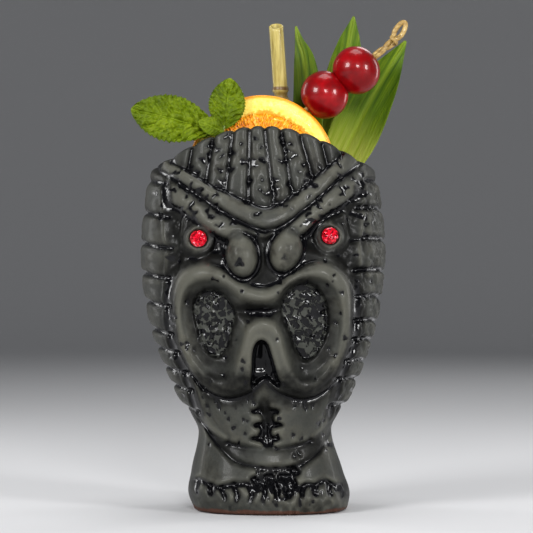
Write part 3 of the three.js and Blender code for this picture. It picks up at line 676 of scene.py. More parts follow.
lumps = smooth(-0.3, 0.4, lattice_noise(U, V, 1.9, 23) + 0.4 * lattice_noise(U, V, 1.0, 24))
ragged = 2.4 * lattice_noise(U, V, 3.2, 28)
crotch = smooth(11, 8, np.abs(U - 4) + ragged) * smooth(9, 12, V + 0.5 * ragged)
crotch = crotch * smooth(0.3, -0.8, over_belly)
height = blend(height, 1.2 + 2.6 * lumps, crotch)
foot_line = 14 + 1.0 * np.sin(U * 0.35) + 0.9 * lattice_noise(U, V * 0, 4, 25)
feet = smooth(0.8, -0.6, V - foot_line)
height = blend(height, 6.0, feet * 0.8)
height -= groove(V - foot_line, 1.0, 2.0) * (1 - crotch)
height += groove(V - foot_line - 1.6, 0.5, 0.7)
cuts = np.maximum(cuts, groove(V - foot_line + 0.3, 1.0, 0.9))
rough_feet = (0.45 + 0.55 * smooth(-4, 8, U)) * feet
for toe in TOES:
    gap = U - toe - 0.6 * np.sin(V * 0.9 + toe)
    toe_cut = groove(gap, 1.2, 1.0) * smooth(5.5 + 2.5 * math.sin(toe), 10, V) * feet
    height -= 2.3 * toe_cut
    cuts = np.maximum(cuts, toe_cut)
rubble = lattice_noise(U, V, 1.4, 26) + 0.6 * lattice_noise(U, V, 2.6, 27)
height += rubble * 1.1 * rough_feet
cuts = np.maximum(cuts, smooth(-0.35, -0.75, rubble) * rough_feet * smooth(1.5, 4, V))
height -= 1.4 * smooth(4, 0, V)
print("body: hands,", len(TOES), "gaps between toes")

# %% [markdown]
# The braids hang down both sides, where the wall turns away from the face. Cutting them straight
# back like the face would only slide their points along the wall, so they stand out sideways
# instead, and the two kinds of carving meet along the braid's inner edge.

# %% Braids down both sides, and ridges of hair behind
BRAID_GAPS = {-1: [140.5, 126.8, 113.7, 101, 89.1, 77.3, 69.7, 61.2, 53.6, 44.3],
              1: [141, 128.9, 115.8, 102.7, 91.7, 81.5, 73.5, 64.6, 57, 46]}
BRAID_EDGE = np.array([(0, 35), (30, 31), (38, 28), (44, 28), (49, 29.4), (57.6, 31.5), (66, 35.2),
                       (74, 38.2), (91, 39.4),
                       (100, 38.8), (112, 37.6), (118, 39), (131, 40), (140, 41), (166, 44)])
SIDE_LEVEL = 2.3
STRANDS_ROUND = 26

across, back = plan_of(angle)
outward = np.stack([np.cos(angle) / 1.25, np.sin(angle)], -1)
outward /= np.linalg.norm(outward, axis=-1, keepdims=True)
side = np.sign(across)
U_BRAID = U + outward[..., 0] * SIDE_LEVEL
from_edge = np.abs(U_BRAID) - np.interp(V, BRAID_EDGE[:, 0], BRAID_EDGE[:, 1])
to_side = np.where(back < 0, from_edge, 14.0)
braids, braid_cuts, braid_shade = np.zeros_like(U), np.zeros_like(U), np.zeros_like(U)
chips = lattice_noise(U * 0.7 + back * 20, V, 2.6, 31) + 0.6 * lattice_noise(U + back * 30, V, 1.2, 32)
for which, gaps in BRAID_GAPS.items():
    edges = np.array(gaps[::-1])
    bent = V + 0.9 * np.sin(back * 5 + which) - 0.05 * from_edge
    block = np.clip(np.searchsorted(edges, bent), 1, len(edges) - 1)
    tall = edges[block] - edges[block - 1]
    t = np.clip((bent - edges[block - 1]) / tall, 0, 1)
    round_block = (1 - (2 * t - 1) ** 4) ** 0.6
    rugged = 0.75 if which > 0 else 0.3
    one = 1.7 + 1.7 * round_block + rugged * np.clip(chips, -1.4, 0.4)
    nearest = np.abs(bent[..., None] - edges).min(-1)
    one -= groove(nearest, 0.7, 1.3)
    braids = np.where(side == which, one, braids)
    # Painted shade on each braid block: darker towards its gaps and in its chips.
    block_shade = np.maximum(1 - round_block, smooth(0.1, -1.0, chips) * rugged)
    braid_shade = np.where(side == which, block_shade, braid_shade)
    cracks = np.maximum(groove(nearest, 0.75, 1.0), smooth(-0.75, -1.15, chips) * rugged)
    braid_cuts = np.where(side == which, cracks, braid_cuts)
in_column = smooth(144, 139.5, V) * smooth(36, 44, V)
above = np.clip(2.0 + (height - 5.2) * 0.6, 0.5, 2.7)
side_out = blend(above * smooth(0.75, -0.2, back), braids, in_column)
side_out *= smooth(34, 44, V)
side_out -= groove(to_side - 0.3, 0.6, 0.8) * in_column
side_out += groove(to_side - 1.7, 0.6, 0.5) * in_column
braid_cuts = braid_cuts * smooth(0, 1, to_side) * in_column
behind = smooth(0.12, 0.2, back)
sway = 0.06 * np.sin(V / 17.0) + 0.03 * lattice_noise(angle * 9, V, 22, 33)
strand = np.abs(np.sin((angle + sway) * STRANDS_ROUND / 2))
ridges = 0.5 + 1.5 * strand**0.7 + 0.15 * lattice_noise(angle * 40, V, 2.2, 34)
ridges *= smooth(36, 46, V) * smooth(152, 144, V)
side_out = blend(side_out, ridges, behind)
side_out -= groove(back - 0.14, 0.03, 0.9) * in_column

sharp = smooth(0.9, -0.3, to_side)
soft = smooth(6, -6, to_side)
low_soft = smooth(5, -3, to_side)
face = blend(sharp, soft, smooth(138, 143, V))
face = blend(low_soft, face, smooth(37, 44, V)) * smooth(0, -0.3, back)
print("braids:", sum(len(g) for g in BRAID_GAPS.values()), "gaps")

# %% [markdown]
# Poured glaze is never even. It softens every edge it covers, draws back from the crests and fills
# the cuts, where it cools black and shiny. So the carving is eased a little, and small craters are
# sunk where gas broke the surface. Four values then set the colour at each point: one for the black
# glaze in the cuts, which also carries some painted shade in broader hollows and beside the nose;
# one for painted shade in the wider hollows and wherever shade would fall; one for the glaze that
# breaks paler on the high places, with a painted highlight there; and one for the lava.

# %% Craters, softened edges, pools of glaze and painted shade
CRATERS = 330
carved = height.copy()
random = np.random.default_rng(7)
crater = np.zeros_like(height)
for _ in range(CRATERS):
    high = random.random() < 0.62
    at_v = random.uniform(114, 160) if high else random.uniform(24, 112)
    at_u = random.uniform(-44, 44) if high else random.choice([-1, 1]) * random.uniform(4, 38)
    wide, tall = random.uniform(0.7, 2.0) * (1.0 if high else 0.7), random.uniform(0.5, 1.05)
    turn = random.uniform(-0.9, 0.9)
    near = (np.abs(U - at_u) < 5) & (np.abs(V - at_v) < 5) & (back < 0)
    du, dv = U[near] - at_u, V[near] - at_v
    x, y = turned(du, dv, turn)
    wobble = 1 + 0.35 * np.sin(3 * np.arctan2(y, x) + at_u)
    sunk = smooth(1.25, 0.55, np.hypot(x / wide, y / tall) * wobble)
    crater[near] = np.maximum(crater[near], sunk)
calm = smooth(1, -1, to_nose) * 0.7
for eye_u, eye_v in EYES.values():
    calm = np.maximum(calm, smooth(8, 5, np.hypot(U - eye_u, V - eye_v)))
crater *= 1 - calm
height = carved - 1.1 * crater

front_move = np.stack([0 * U, -np.ones_like(U), 0 * U], -1)
side_move = np.concatenate([outward, 0 * U[..., None]], -1)
keep = np.zeros_like(U)
for eye_u, eye_v in EYES.values():
    keep = np.maximum(keep, smooth(5.5, 4.5, np.hypot(U - eye_u, V - eye_v)) * (back < 0))
unblurred = np.max([keep, 0.85 * pit_floor, 0.7 * notch_floor], 0)
eased_front = blend(blurred(height, 2), height, unblurred)
eased_side = blurred(side_out - 0.4 * crater * (1 - face), 1)
CARVED = BASE + front_move * (eased_front * face)[..., None]
CARVED += side_move * (eased_side * (1 - face))[..., None]

relief = eased_front * face + eased_side * (1 - face)
fine = blurred(relief, 8) - relief
broad = blurred(relief, 60) - relief
# Black glaze fills the fine cuts; the 0.4 share in the broader hollows is painted shade.
pool = smooth(0.2, 0.8, fine) + 0.4 * smooth(0.8, 3.0, broad)
pool = np.maximum(pool, np.maximum(cuts * face, braid_cuts * smooth(0.2, 0.1, back)))
pool = np.maximum(pool, crater * 0.9)
pool = np.maximum(pool, smooth(0.8, -0.4, notch) * face)
pool = np.maximum(pool, crotch * (1 - 0.6 * lumps) * face)
pool = np.maximum(pool, 0.95 * between * smooth(43, 36, V) * face)
# Painted shade beside the nose, under the brow; it darkens the colour and adds a little to the black glaze
# value.
near_nose = smooth(26, 13, np.abs(U)) * smooth(0.5, -2, over_brow) * smooth(100, 106, V)
shade_beside_nose = near_nose * smooth(-0.5, 1, to_nose) * face
pool = np.maximum(pool, 0.35 * shade_beside_nose)
pool = np.maximum(pool * (1 - 0.95 * eggs), dents * face)
pool *= (1 - 0.9 * keep) * (1 - pit_floor * face)
pool = np.clip(blurred(pool, 1), 0, 1)
# Painted shade: the wider hollows, the overhang of the brow, the chest under the mouth, the sides of the
# nose, the rims of the pits, the top of the gap between the hands, and the edges of locks, bands, braid
# blocks and the braids' inner edges are darkened where shade would fall.
wide_hollow = blurred(relief, 220) - relief
shade = np.maximum(smooth(-1.5, 2.0, wide_hollow), 0.9 * smooth(-0.2, 1.3, broad))
on_braids = in_column * (1 - behind) * (1 - face)
shade = np.max([shade, 0.85 * form_shade**1.3 * face, 0.8 * braid_shade * on_braids], 0)
# Painted shadow on the chest under the mouth.
shadow_below_mouth = groove(np.clip(outside - 0.3, 0, None), 3.2, 0.85) * smooth(66, 58, V)
around_pits = groove(np.clip(to_pits, 0, None), 2.6, 0.95) * smooth(0.2, 0.6, face)
shade = np.max([shade, shadow_below_mouth * face, around_pits, 0.75 * rough_temple * under_brow * face], 0)
shade = np.max([shade, 0.6 * between * face, shade_beside_nose, groove(to_side, 1.3, 1) * in_column], 0)
# Painted shade under the overhang of the brow.
shade_under_brow = under_brow * smooth(4.5, 0.5, -over_brow) * smooth(36, 24, np.abs(U))
shade = np.maximum(shade, 0.9 * shade_under_brow * face)
shade *= (1 - 0.6 * eggs) * (1 - 0.7 * keep)
shade = np.clip(blurred(shade, 3), 0, 1)
# Paler on the high places, where the glaze breaks thin, with a painted highlight there too.
crest = smooth(0.05, 0.55, -fine) + 0.8 * smooth(0.3, 1.8, -broad)
crest = np.clip(blurred(crest, 2), 0, 1)
rough = np.clip(blurred(pit_floor * face, 1), 0, 1)
print("craters:", CRATERS, "pooled share:", round(float((pool > 0.5).mean()), 3))

# %% The mug's mesh
RIM_STEPS, INSIDE_ROWS = 5, 9
FOOT_MIDDLE = np.zeros(3)

rings = []
foot_ring = CARVED[0] * [0.97, 0.97, 0]
for share in (0.0, 0.45, 0.8, 0.93):
    rings.append(blend(FOOT_MIDDLE, foot_ring, share))
rings[0] = blend(FOOT_MIDDLE, foot_ring, 0.02)
rings.append(foot_ring)
rings.append(blend(foot_ring, CARVED[0], 0.7) * [1, 1, 0] + [0, 0, 0.35])
rings.extend(CARVED)
rim = rim_height(ANGLES)
inner_top = form_points(ANGLES, rim, WALL)
outer_top = CARVED[-1]
for step in range(1, RIM_STEPS):
    turn = math.pi * step / RIM_STEPS
    middle = (outer_top + inner_top) / 2
    spread = (outer_top - inner_top) / 2
    ring = middle + spread * math.cos(turn)
    ring[:, 2] = rim - RIM_ROUND + RIM_ROUND * math.sin(turn)
    rings.append(ring)
for step in range(INSIDE_ROWS):
    level = blend(rim - RIM_ROUND, FLOOR + 3, step / (INSIDE_ROWS - 1))
    rings.append(form_points(ANGLES, level, WALL))
floor_ring = form_points(ANGLES, np.full(len(ANGLES), float(FLOOR)), WALL + 4)
floor_middle = np.array([lean(FLOOR), 0, FLOOR])
rings.append(floor_ring)
for share in (0.5, 0.02):
    rings.append(blend(floor_middle, floor_ring, share))

before = 6
after = len(rings) - before - len(pool)


def for_every_ring(field, inside):
    """A value for every point of the mug: none under the foot, and one value inside."""
    plain = np.full(len(ANGLES), float(inside))
    return np.concatenate([plain * 0] * before + list(field) + [plain] * after)


mug_points = np.concatenate(rings)
mug_faces = ring_faces(len(rings), len(ANGLES))
mug_faces.append(tuple(range(len(ANGLES) - 1, -1, -1)))
mug_faces.append(tuple(range(len(mug_points) - len(ANGLES), len(mug_points))))
print("mug rings:", len(rings), "around:", len(ANGLES))

# %% [markdown]
# ## Charcoal glaze over stoneware
# One satin grey glaze covers the mug, a little warmer and paler on the crests, where it breaks thin
# and a highlight is painted. Where it pools it turns black with a wet shine, painted shade darkens
# the hollows, and the foot's edge is wiped clean, so the brown clay shows there.

# %% Glaze
GREY_LOW, GREY_HIGH, GREY_WARM = (0.030, 0.032, 0.029), (0.050, 0.051, 0.045), (0.076, 0.073, 0.058)
GREY_DEEP = (0.003, 0.003, 0.003)
BLACK, CLAY, LAVA_GREY = (0.004, 0.004, 0.005), (0.085, 0.043, 0.031), (0.054, 0.056, 0.049)


def glaze_finish():
    glaze = Finish("charcoal_glaze")
    place = glaze.node("ShaderNodeSeparateXYZ", None, {0: glaze.coordinates})
    tall = place.number(2) * (1 / MM)
    mottle = glaze.noise(0.075, 4.0, 0.62)
    grain = glaze.noise(0.9, 3.0, 0.6)
    specks = glaze.cells(0.42)
    # Black glaze in the cuts, with some painted shade in the broader hollows and beside the nose.
    depth = glaze.attribute("pool")
    edge = (depth + (grain - 0.5) * 0.35).between(0.22, 0.62)
    tone = glaze.ramp(mottle * 0.75 + grain * 0.25, (0.3, GREY_LOW), (0.5, GREY_HIGH), (0.72, GREY_WARM))
    dots = (specks + grain * 0.12).between(0.15, 0.1)
    colour = glaze.mix(dots * 0.35, tone, (0.03, 0.03, 0.028))
    # Paler, warmer glaze on the crests: glaze breaking thin, and a painted highlight.
    colour = glaze.mix(glaze.attribute("crest") * 0.4, colour, (0.145, 0.142, 0.116))
    cloud = glaze.noise(0.3, 3.0)
    uneven = (mottle - 0.5) * 1.1 + (cloud - 0.5) * 0.6
    # Painted shade, broken up by noise, turns the grey toward near black.
    thick = (glaze.attribute("shade") + uneven).between(0.0, 1.0)
    colour = glaze.mix(thick * 0.92, colour, GREY_DEEP)
    colour = glaze.mix(edge, colour, BLACK)
    # Lava in the pits of the mouth: worm-like lumps of grey that stand out of black glaze.
    rough = glaze.attribute("rough")
    lump = glaze.noise(0.40, 2.0, 0.5, distortion=0.8).between(0.50, 0.56)
    colour = glaze.mix(rough, colour, glaze.mix(lump, BLACK, LAVA_GREY))
    bare = (tall + (mottle - 0.5) * 5).between(2.1, 1.2)
    colour = glaze.mix(bare, colour, CLAY)
    wet = (edge * (1 - bare) + rough * (0.9 - lump * 0.5)).clipped()
    dull = bare * 0.4
    relief = grain * 0.05 + cloud * 0.16 - dots * 0.05 + rough * lump * 0.7
    return glaze.surface(
        Base_Color=colour,
        Roughness=0.50 - wet * 0.30 - thick * 0.04 + dull * 0.7 + (grain - 0.5) * 0.12,
        Coat_Weight=0.06 + wet * 0.36,
        Coat_Roughness=0.12,
        Specular_IOR_Level=0.16,
        Normal=glaze.bump(relief),
    )


mug = mesh_object("tiki_mug", mug_points, mug_faces, "mug", ["mug_body"], glaze_finish())
# Inside the mug the painted shade is set at half, so the inside reads darker.
LAYERS = {"pool": (pool, 0.1), "shade": (shade, 0.5), "crest": (crest, 0.0), "rough": (rough, 0.0)}
for label, (values, inside) in LAYERS.items():
    lay(mug, label, for_every_ring(values, inside))
print("glaze on", mug.name)

# %% [markdown]
# ## Crystal eyes
# Each eye is a cut crystal on a dot of glue, pressed into a seat in the clay. Its crown is cut in
# rows of flat facets, and a foil behind it throws red light back out. That light is painted: each
# facet gets its own depth of red, up to a pinkish-white sparkle, and the red glows a little.

# %% Crystals
# Radius, distance behind the table, corners in the ring and their turn, from the table to the back.
CUTS = [(0.01, 0.0, 16, 0.0), (1.0, 0.04, 16, 0.5), (2.0, 0.0, 16, 0.0), (2.9, 0.55, 16, 0.5),
        (3.45, 1.1, 16, 0.0), (3.6, 1.3, 16, 0.5), (3.55, 1.5, 16, 0.0), (1.6, 2.4, 16, 0.5),
        (0.01, 2.45, 16, 0.0)]


def crystal_finish():
    crystal = Finish("red_crystal")
    # Painted reflection of the foil on each facet, from dark red to pinkish white.
    facet = crystal.attribute("facet")
    colour = crystal.ramp(facet, (0.0, (0.10, 0.0, 0.003)), (0.4, (0.60, 0.003, 0.015)),
                          (0.85, (0.9, 0.012, 0.05)), (1.0, (1.0, 0.35, 0.42)))
    # The emission is a painted glow of the red.
    return crystal.surface(Base_Color=colour, Roughness=0.06, Metallic=0.35, Coat_Weight=1.0,
                           Emission_Color=colour, Emission_Strength=0.08)


red_crystal = crystal_finish()
random = np.random.default_rng(3)
for side in ("left", "right"):
    low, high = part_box(f"{side}_eye_crystal")
    front, middle = low.y / MM, (low + high) / 2 / MM
    points = []
    for radius, behind_table, corners, turn in CUTS:
        for k in range(corners):
            a = 2 * math.pi * (k + turn) / corners
            points.append((middle.x + radius * math.cos(a), front + behind_table,
                           middle.z + radius * math.sin(a)))
    faces, facet_glints = [], []
    for ring in range(len(CUTS) - 1):
        for k in range(16):
            a, b = ring * 16 + k, ring * 16 + (k + 1) % 16
            shift = 0 if CUTS[ring][3] < CUTS[ring + 1][3] else 1
            c, d = (ring + 1) * 16 + (k + shift) % 16, (ring + 1) * 16 + (k + shift - 1) % 16
            faces += [(a, c, d), (a, b, c)]
            # A random depth of painted reflection for each facet.
            facet_glints += list(random.random(2) ** 1.2)
    eye_piece = mesh_object(f"{side}_crystal", points, faces, "mug", [f"{side}_eye_crystal"],
                            red_crystal)
    eye_piece.data.shade_flat()
    lay(eye_piece, "facet", facet_glints[:len(eye_piece.data.polygons)], "FACE")

# %% [markdown]
# ## Bamboo straw
# A straw is one thin stalk of bamboo, cut at a slant under a node and bored by nature. A tube is
# all it takes: rings of points along the stalk, pushed out at the two ridges of the node.

# %% Straw
STRAW_FOOT, STRAW_AXIS = np.array([16.5, 10, 9.2]), np.array([-0.070443, -0.086207, 0.993783])
STRAW_LENGTH, STRAW_RADIUS, STRAW_BORE = 203.0, 3.1, 2.1
NODE_RINGS = (28.5, 33.5)
STRAW_SLANT = 0.42


def frame_of(axis):
    """Two directions square to an axis and to each other."""
    side = np.cross(axis, (0, 1, 0))
    side /= np.linalg.norm(side)
    return side, np.cross(side, axis)


def straw_rings(stations, across, slant_from):
    side, ahead = frame_of(STRAW_AXIS)
    rings = []
    for along, radius in stations:
        ring = []
        for k in range(across):
            a = 2 * math.pi * k / across
            offset = side * math.cos(a) + ahead * math.sin(a)
            lift = offset[1] * radius * STRAW_SLANT if along > slant_from else 0
            ring.append(STRAW_FOOT + STRAW_AXIS * (along + lift) + offset * radius)
        rings.append(ring)
    return rings


stations = [(0.0, STRAW_BORE), (0.0, STRAW_RADIUS - 0.2), (0.25, STRAW_RADIUS)]
for along in np.arange(4, STRAW_LENGTH - 2.5, 1.0):
    from_top = STRAW_LENGTH - along
    swell = sum(0.75 * math.exp(-((from_top - at) / 0.75) ** 2) for at in NODE_RINGS)
    waist = -0.25 * math.exp(-((from_top - sum(NODE_RINGS) / 2) / 1.3) ** 2)
    stations.append((along, STRAW_RADIUS + swell + waist))
TOP = STRAW_LENGTH - 0.8
stations += [(TOP - 0.25, STRAW_RADIUS), (TOP, STRAW_RADIUS - 0.2), (TOP, STRAW_BORE + 0.1),
             (TOP - 0.5, STRAW_BORE)]
stations += [(along, STRAW_BORE) for along in np.linspace(STRAW_LENGTH - 6, 0.0, 12)]
AROUND_STRAW = 40
straw_points = np.concatenate(straw_rings(stations, AROUND_STRAW, STRAW_LENGTH - 2.2))


def bamboo_finish():
    bamboo = Finish("bamboo")
    grain = bamboo.noise(0.9, 3.0, 0.6, bamboo.stretched(1, 1, 0.03))
    patches = bamboo.noise(0.05, 3.0)
    tall = bamboo.node("ShaderNodeSeparateXYZ", None, {0: bamboo.coordinates}).number(2) * (1 / MM)
    colour = bamboo.ramp(grain * 0.75 + patches * 0.25, (0.3, (0.20, 0.15, 0.03)),
                         (0.5, (0.36, 0.29, 0.08)), (0.7, (0.49, 0.41, 0.15)))
    node_high = STRAW_FOOT[2] + STRAW_AXIS[2] * (STRAW_LENGTH - sum(NODE_RINGS) / 2)
    from_node = (tall - float(node_high)).size()
    scar = from_node.between(1.9, 0.8) * 0.6 + (from_node - 2.9).size().between(1.1, 0.4) * 1.1
    scar = (scar * (0.6 + patches * 0.8)).clipped()
    colour = bamboo.mix(scar, colour, (0.13, 0.075, 0.02))
    return bamboo.surface(Base_Color=colour, Roughness=0.42 + grain * 0.15, Coat_Weight=0.15,
                          Normal=bamboo.bump(grain * 0.16))


mesh_object("straw", straw_points, ring_faces(len(stations), AROUND_STRAW), "straw",
            ["bamboo_straw"], bamboo_finish())

# %% [markdown]
# ## Orange wheel
# A wheel is a slice right across an orange. The rind is a ring with a dimpled skin outside and
# soft, pale pith on both cut faces. The pulp inside has ten segments, each packed with little bags
# of juice that point at the middle. Hundreds of bags are one drop repeated by Geometry Nodes.

# %% Rind
WHEEL = np.array([-3.8, -14.5, 148.0])
ORANGE_HALF, PULP_RADIUS = 3.25, 22.8
RIND_AROUND = 240


def wheel_points(section, around, wave=None):
    """A section of (radius, depth) pairs turned about the wheel's axle."""
    rings = []
    for index, (radius, depth) in enumerate(section):
        a = 2 * math.pi * np.arange(around) / around
        r = radius + (wave(index, a) if wave else 0)
        rings.append(np.stack([WHEEL[0] + r * np.cos(a), WHEEL[1] + depth + 0 * a,
                               WHEEL[2] + r * np.sin(a)], -1))
    return np.concatenate(rings)


section = [(PULP_RADIUS + 0.3, y) for y in (3.0, 0.0, -3.0)]
section += [(r, -ORANGE_HALF + 0.15 * math.cos(r * 1.3)) for r in np.linspace(23.6, 30.2, 9)]
section += [(30.9, -3.05), (31.3, -2.6), (31.5, -1.8), (31.6, 0), (31.5, 1.8), (31.3, 2.6), (30.9, 3.05)]
section += [(r, ORANGE_HALF - 0.15 * math.cos(r * 1.3)) for r in np.linspace(30.2, 23.6, 9)]
inner_wave = lambda index, a: -0.25 * np.abs(np.sin(5 * a)) * (index < 3)
rind_points = wheel_points(section, RIND_AROUND, inner_wave)
rind_faces = [f[::-1] for f in ring_faces(len(section), RIND_AROUND)]
loop = len(section) - 1
for j in range(RIND_AROUND):
    k = (j + 1) % RIND_AROUND
    rind_faces.append((loop * RIND_AROUND + j, j, k, loop * RIND_AROUND + k))


def from_axle(finish):
    """Millimetres from the wheel's axle, and the two offsets that give it."""
    place = finish.node("ShaderNodeSeparateXYZ", None, {0: finish.coordinates})
    x = place.number(0) * (1 / MM) - float(WHEEL[0])
    z = place.number(2) * (1 / MM) - float(WHEEL[2])
    return (x * x + z * z) ** 0.5, x, z


def rind_finish():
    rind = Finish("orange_rind")
    radius, x, z = from_axle(rind)
    blotch, grain = rind.noise(0.12, 3.0), rind.noise(0.7, 3.0)
    ragged = radius + (blotch - 0.5) * 5.0 + (grain - 0.5) * 3.0
    pith = rind.ramp(grain, (0.3, (0.90, 0.60, 0.07)), (0.7, (0.98, 0.80, 0.20)))
    colour = rind.mix(ragged.between(25.2, 23.6), pith, (0.72, 0.30, 0.012))
    skin = (radius + (grain - 0.5) * 0.9).between(29.4, 30.7)
    colour = rind.mix(skin, colour, (0.78, 0.30, 0.008))
    pores = rind.cells(0.75).between(0.05, 0.5)
    height = skin * pores * 0.22 + (1 - skin) * grain * 0.35
    return rind.surface(Base_Color=colour, Roughness=0.62 - skin * 0.22, Coat_Weight=0.08,
                        Subsurface_Weight=0.12, Subsurface_Radius=(0.004, 0.002, 0.0008),
                        Normal=rind.bump(height))


mesh_object("orange_rind", rind_points, rind_faces, "pick", ["orange_peel"],
            rind_finish())

# %% Pulp
SEGMENTS = 10
pulp_section = [(0.02, -2.6), (4, -2.7), (8, -2.8), (13, -2.85), (18, -2.9), (21.5, -2.95), (23.2, -3.0),
                (23.3, -2.0), (23.3, 2.0), (23.2, 3.0), (21.5, 2.95), (18, 2.9), (13, 2.85), (8, 2.8),
                (4, 2.7), (0.02, 2.6)]
PULP_AROUND = 200
pulp_points = wheel_points(pulp_section, PULP_AROUND)
angles = np.arctan2(pulp_points[:, 2] - WHEEL[2], pulp_points[:, 0] - WHEEL[0])
radii = np.hypot(pulp_points[:, 2] - WHEEL[2], pulp_points[:, 0] - WHEEL[0])
to_membrane = np.abs((angles / (2 * math.pi) * SEGMENTS + 0.25) % 1 - 0.5) * 2
wall = smooth(0.82, 0.95, to_membrane) * smooth(23.3, 21, radii)
flat_side = np.sign(pulp_points[:, 1] - WHEEL[1])
pulp_points[:, 1] += flat_side * 0.35 * wall
pulp_faces = [f[::-1] for f in ring_faces(len(pulp_section), PULP_AROUND)]


def pulp_finish():
    pulp = Finish("orange_pulp")
    radius, x, z = from_axle(pulp)
    turn = pulp.node("ShaderNodeMath", {"operation": "ARCTAN2"}, {0: z, 1: x}).number()
    share = turn * (SEGMENTS / (2 * math.pi)) + 0.25 + 20.0
    fraction = pulp.node("ShaderNodeMath", {"operation": "FRACT"}, {0: share}).number()
    edge = (fraction - 0.5).size() * 2
    grain = pulp.noise(0.5, 3.0)
    juice = pulp.ramp(grain, (0.3, (0.66, 0.21, 0.002)), (0.5, (0.82, 0.32, 0.004)),
                      (0.7, (0.95, 0.50, 0.02)))
    thin = edge.between(0.92, 0.98)
    colour = pulp.mix(thin * 0.6, juice, (0.90, 0.60, 0.12))
    colour = pulp.mix(radius.between(2.4, 1.2), colour, (0.95, 0.82, 0.45))
    return pulp.surface(Base_Color=colour, Roughness=0.38, Coat_Weight=0.12, Subsurface_Weight=0.25,
                        Subsurface_Radius=(0.004, 0.0015, 0.0004), Normal=pulp.bump(grain * 0.2))


def bag_nodes(finish):
    """Geometry Nodes that pack drop-shaped bags over the pulp's two cut faces."""
    tree = bpy.data.node_groups.new("bags of juice", "GeometryNodeTree")
    face = tree.interface
    face.new_socket("Geometry", in_out="INPUT", socket_type="NodeSocketGeometry")
    for label, value in (("Spacing", 0.0012), ("Length", 0.0013)):
        face.new_socket(label, in_out="INPUT", socket_type="NodeSocketFloat").default_value = value
    face.new_socket("Seed", in_out="INPUT", socket_type="NodeSocketInt").default_value = 5
    face.new_socket("Geometry", in_out="OUTPUT", socket_type="NodeSocketGeometry")
    new, link = tree.nodes.new, tree.links.new
    given, made = new("NodeGroupInput"), new("NodeGroupOutput")
    scatter = new("GeometryNodeDistributePointsOnFaces")
    scatter.distribute_method = "POISSON"
    scatter.inputs["Density Max"].default_value = 900000
    facing, parts = new("GeometryNodeInputNormal"), new("ShaderNodeSeparateXYZ")
    size = new("ShaderNodeMath")
    size.operation = "ABSOLUTE"
    flat = new("FunctionNodeCompare")
    flat.inputs["B"].default_value = 0.8
    place, away = new("GeometryNodeInputPosition"), new("ShaderNodeVectorMath")
    away.operation = "SUBTRACT"
    away.inputs[1].default_value = tuple(WHEEL * MM)
    aim = new("FunctionNodeAlignRotationToVector")
    aim.axis = "X"
    drop, shape = new("GeometryNodeMeshUVSphere"), new("GeometryNodeTransform")
    drop.inputs["Segments"].default_value, drop.inputs["Rings"].default_value = 7, 5
    drop.inputs["Radius"].default_value = 0.5
    shape.inputs["Scale"].default_value = (1.75, 0.62, 0.62)
    chance, scale = new("FunctionNodeRandomValue"), new("ShaderNodeMath")
    chance.inputs[2].default_value, chance.inputs[3].default_value = 0.75, 1.3
    scale.operation = "MULTIPLY"
    copies, real = new("GeometryNodeInstanceOnPoints"), new("GeometryNodeRealizeInstances")
    both = new("GeometryNodeJoinGeometry")
    round_off, coat = new("GeometryNodeSetShadeSmooth"), new("GeometryNodeSetMaterial")
    coat.inputs["Material"].default_value = finish
    link(given.outputs["Geometry"], scatter.inputs["Mesh"])
    link(facing.outputs[0], parts.inputs[0])
    link(parts.outputs["Y"], size.inputs[0])
    link(size.outputs[0], flat.inputs["A"])
    link(flat.outputs[0], scatter.inputs["Selection"])
    link(given.outputs["Spacing"], scatter.inputs["Distance Min"])
    link(given.outputs["Seed"], scatter.inputs["Seed"])
    link(place.outputs[0], away.inputs[0])
    link(away.outputs[0], aim.inputs["Vector"])
    link(drop.outputs["Mesh"], shape.inputs["Geometry"])
    link(scatter.outputs["Points"], copies.inputs["Points"])
    link(shape.outputs["Geometry"], copies.inputs["Instance"])
    link(aim.outputs[0], copies.inputs["Rotation"])
    link(given.outputs["Seed"], chance.inputs["Seed"])
    link(chance.outputs[1], scale.inputs[0])
    link(given.outputs["Length"], scale.inputs[1])
    link(scale.outputs[0], copies.inputs["Scale"])
    link(copies.outputs["Instances"], real.inputs["Geometry"])
    link(real.outputs["Geometry"], both.inputs["Geometry"])
    link(given.outputs["Geometry"], both.inputs["Geometry"])
    link(both.outputs["Geometry"], round_off.inputs["Geometry"])
    link(round_off.outputs["Geometry"], coat.inputs["Geometry"])
    link(coat.outputs["Geometry"], made.inputs["Geometry"])
    return tree


def grown(piece, tree, settings):
    """Puts a plain mesh of what the nodes make in place of the piece's own mesh."""
    modifier = piece.modifiers.new("grow", "NODES")
    modifier.node_group = tree
    for item in tree.interface.items_tree:
        if item.in_out == "INPUT" and item.name in settings:
            modifier[item.identifier] = settings[item.name]
    graph = bpy.context.evaluated_depsgraph_get()
    plain = bpy.data.meshes.new_from_object(piece.evaluated_get(graph), depsgraph=graph)
    piece.modifiers.clear()
    piece.data = plain


pulp_mesh = bpy.data.meshes.new("pulp")
pulp_mesh.from_pydata((pulp_points * MM).tolist(), [], pulp_faces)
juicy = pulp_finish()
pulp_mesh.materials.append(juicy)
pulp = bpy.data.objects.new("orange_flesh", pulp_mesh)
bpy.context.scene.collection.objects.link(pulp)
grown(pulp, bag_nodes(juicy), {"Spacing": 0.00105, "Length": 0.0014, "Seed": 11})
settle(pulp, "pick", ["orange_pulp"])

# %% [markdown]
# ## Cherries on a knotted pick
# The cherries are preserved ones: bright, soft, translucent and wet. Each is a ball turned about
# the pick, drawn in where the pick goes through. The pick is a splint of bamboo whose end is
# split, twisted and tied back on itself in a loop.

